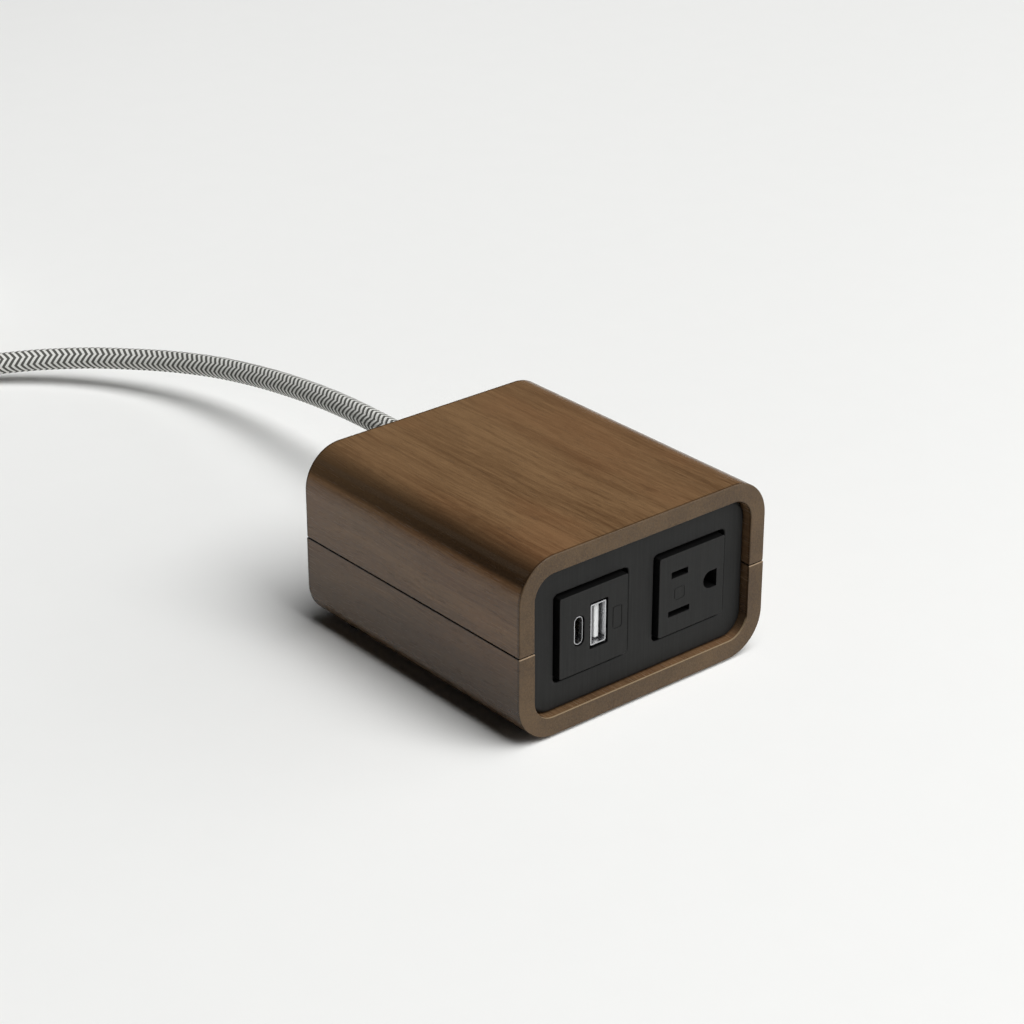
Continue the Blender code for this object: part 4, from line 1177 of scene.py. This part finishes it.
# %% [markdown]
# ## What the lead carries
# The strain relief is a soft ribbed sleeve that is clamped in the back plate and lets the lead bend
# gently. A strap holds the coil, and a grounded plug ends the lead. The plug is modelled along +Y
# where it is easy to measure, and then put in its place on the coil.

# %% Turn the strain relief
relief_length = relief_high.y - relief_low.y
plate_inside, plate_outside = (corner.y - relief_low.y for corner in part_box("rear_plate"))


def ribs(count, shift, steps, inner, wider, depth, start, length):
    """The outline of a ribbed taper, as (radius, height) pairs."""
    outline = []
    for step in range(steps + 1):
        share = step / steps
        groove = max(0.0, math.sin(2 * math.pi * count * share - shift)) ** 0.6
        outline.append((inner + wider * share - depth * groove, start + length * share))
    return outline


into, out_of, end = plate_inside / MM, plate_outside / MM, relief_length / MM
relief_outline = [
    (0, 0), (7.4, 0), (7.8, 0.4), (7.8, into - 0.3), (6.5, into - 0.3), (6.5, out_of + 0.3),
    (7.9, out_of + 0.3), (8.2, out_of + 0.6), (8.2, out_of + 1.6), (7.8, out_of + 2.1),
    *ribs(6, 0.6, 72, 6.9, -1.7, 0.8, out_of + 3.0, end - 4.6 - out_of),
    (5.2, end - 0.9), (5.0, end - 0.25), (4.7, end), (4.0, end), (3.8, end - 1.0), (0, end - 1.0),
]
relief = turned("ribbed_relief", [mm(*point) for point in relief_outline], 64)
relief.data.transform(Matrix.Translation((cord_x, relief_low.y, seam_z)) @ outward)
show(relief, soft_rubber, "rubber", "strain_relief")

# %% Wrap the strap
strap = round_along(add_box("coil_strap", mm(-14.3, -5, 0.2), mm(14.3, 5, 18.2)), 1, 3.4 * MM)
soften(hollow_through(strap, 1.0 * MM), 0.25 * MM, 2)
strap_end = add_box("strap_end", mm(-4, -4.8, 18.1), mm(9.5, 4.8, 19.0))
upward = along(2)
round_edges(strap_end, lambda a, b: upward(a, b) and a.x < 0, 2.5 * MM, 6)
soften(strap_end, 0.25 * MM, 2)
STRAP_RADIUS = 42.1 * MM
strap_middle = COIL_CENTRE + STRAP_RADIUS * toward(TIE_ANGLE)
strap_place = Matrix.Translation(strap_middle) @ Matrix.Rotation(TIE_ANGLE, 4, "Z")
for piece in (strap, strap_end):
    piece.data.transform(strap_place)
show(strap, dark_nylon, "rubber", "cord_tie")
show(strap_end, dark_nylon, "rubber")

# %% Mould the plug
PLUG_Z = 29.7 * MM
PLUG_SIDE = math.radians(-45)
plug_centre = COIL_CENTRE + 28 * MM * toward(PLUG_SIDE) + Vector((0, 0, PLUG_Z))
plug_place = Matrix.Translation(plug_centre) @ Matrix.Rotation(math.radians(135), 4, "Z")
plug = add_box("moulded_plug", mm(-13, 9, -12.2), mm(13, 32, 12.2))
edit_faces(plug, (0, -1, 0))
extrude(0, -11.7 * MM, 0)
bpy.ops.transform.resize(value=(7.2 / 13, 1, 7.2 / 12.2), center_override=(0, -2.7 * MM, 0))
rest_hands()
soften(plug, 2.4 * MM, 6, 20)
for side in (-14, 14):
    for i in range(4):
        y = 13.5 + 3.2 * i
        groove = add_box("groove", mm(side - 1.7, y - 0.7, -7), mm(side + 1.7, y + 0.7, 7))
        carve(plug, round_along(groove, 0, 0.65 * MM, 4))
soften(plug, 0.2 * MM, 2, 50)
sleeve_outline = [
    (0, 0), (4.4, 0), (4.8, 0.3), *ribs(3, 0.5, 36, 5.1, 1.5, 0.7, 0.8, 11.4),
    (6.8, 12.8), (6.8, 13.4), (0, 13.4),
]
sleeve = turned("ribbed_sleeve", [mm(*point) for point in sleeve_outline], 64)
sleeve.data.transform(Matrix.Translation((0, -16.7 * MM, 0)) @ outward)
for piece, node in ((plug, "plug_body"), (sleeve, "plug_sleeve")):
    piece.data.transform(plug_place)
    show(piece, soft_rubber, "rubber", node)

# %% Stamp the blades and turn the ground pin
blade = add_box("blade", mm(-0.75, 26, -7.2), mm(0.75, 50, -0.85))
crossways = along(0)
round_edges(blade, lambda a, b: crossways(a, b) and a.y > 40 * MM, 1.6 * MM, 5)
carve(blade, add_rod("blade_hole", 1.6 * MM, mm(0, 43.9, -4.02), 4 * MM, "x"))
soften(blade, 0.25 * MM, 2)
for name, node, x in (("hot_blade", "plug_hot_blade", -6.35), ("neutral_blade", "plug_neutral_blade", 6.35)):
    placed = copy_of(blade, name, plug_place @ Matrix.Translation((x * MM, 0, 0)))
    show(placed, brass, "brass", node)
discard(blade)
PIN_RADIUS, PIN_STRAIGHT = 2.38, 22.6
pin_outline = [(0, 0), (PIN_RADIUS, 0), (PIN_RADIUS, PIN_STRAIGHT)]
for degrees in range(10, 90, 10):
    turn = math.radians(degrees)
    pin_outline.append((PIN_RADIUS * math.cos(turn), PIN_STRAIGHT + PIN_RADIUS * math.sin(turn)))
pin_outline.append((0, PIN_STRAIGHT + PIN_RADIUS))
pin = turned("ground_pin", [mm(*point) for point in pin_outline])
pin.data.transform(plug_place @ Matrix.Translation((0, 27 * MM, 7.8 * MM)) @ outward)
show(pin, brass, "brass", "plug_ground_pin")

# %% [markdown]
# ## The shutter's spring
# The shutter slides down on a small wound spring. A bevelled curve along a helix, turned into a
# mesh, is the wire.

# %% Wind the spring
spring_low, spring_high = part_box("shutter_spring")
WIRE_RADIUS = 0.17 * MM
WINDING_RADIUS = 0.79 * MM
SPRING_TURNS = 3.5
SPARE = 0.02 * MM
SPRING_STEPS = 84
helix = bpy.data.curves.new("wound_spring", "CURVE")
helix.dimensions = "3D"
helix.bevel_depth = WIRE_RADIUS
helix.bevel_resolution = 3
helix.use_fill_caps = True
winding = helix.splines.new("POLY")
winding.points.add(SPRING_STEPS)
spring_middle = (spring_low + spring_high) / 2
spring_length = spring_high.z - spring_low.z
wound_height = spring_length - 2 * (WIRE_RADIUS + SPARE)
for i, point in enumerate(winding.points):
    share = i / SPRING_STEPS
    angle = 2 * math.pi * SPRING_TURNS * share
    point.co = (
        spring_middle.x + WINDING_RADIUS * math.cos(angle),
        spring_middle.y + WINDING_RADIUS * math.sin(angle),
        spring_low.z + WIRE_RADIUS + SPARE + wound_height * share, 1,
    )
spring = add_object("wound_spring", helix)
pick(spring)
bpy.ops.object.convert(target="MESH")
spring = bpy.context.object
spring.data.shade_smooth()
show(spring, steel, "steel", "shutter_spring")
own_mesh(spring)
print(f"spring {spring_length / MM:.2f} mm long, {len(spring.data.polygons)} faces")

# %% [markdown]
# ## The lead's line
# The lead runs in one length from the strain relief to the plug. The last line lists every eighth
# point of its line, and the last point. The last lines write the model's size beside the CAD model's and
# close the frame.

[tuple(point) for point in line[::8]] + [tuple(line[-1])]
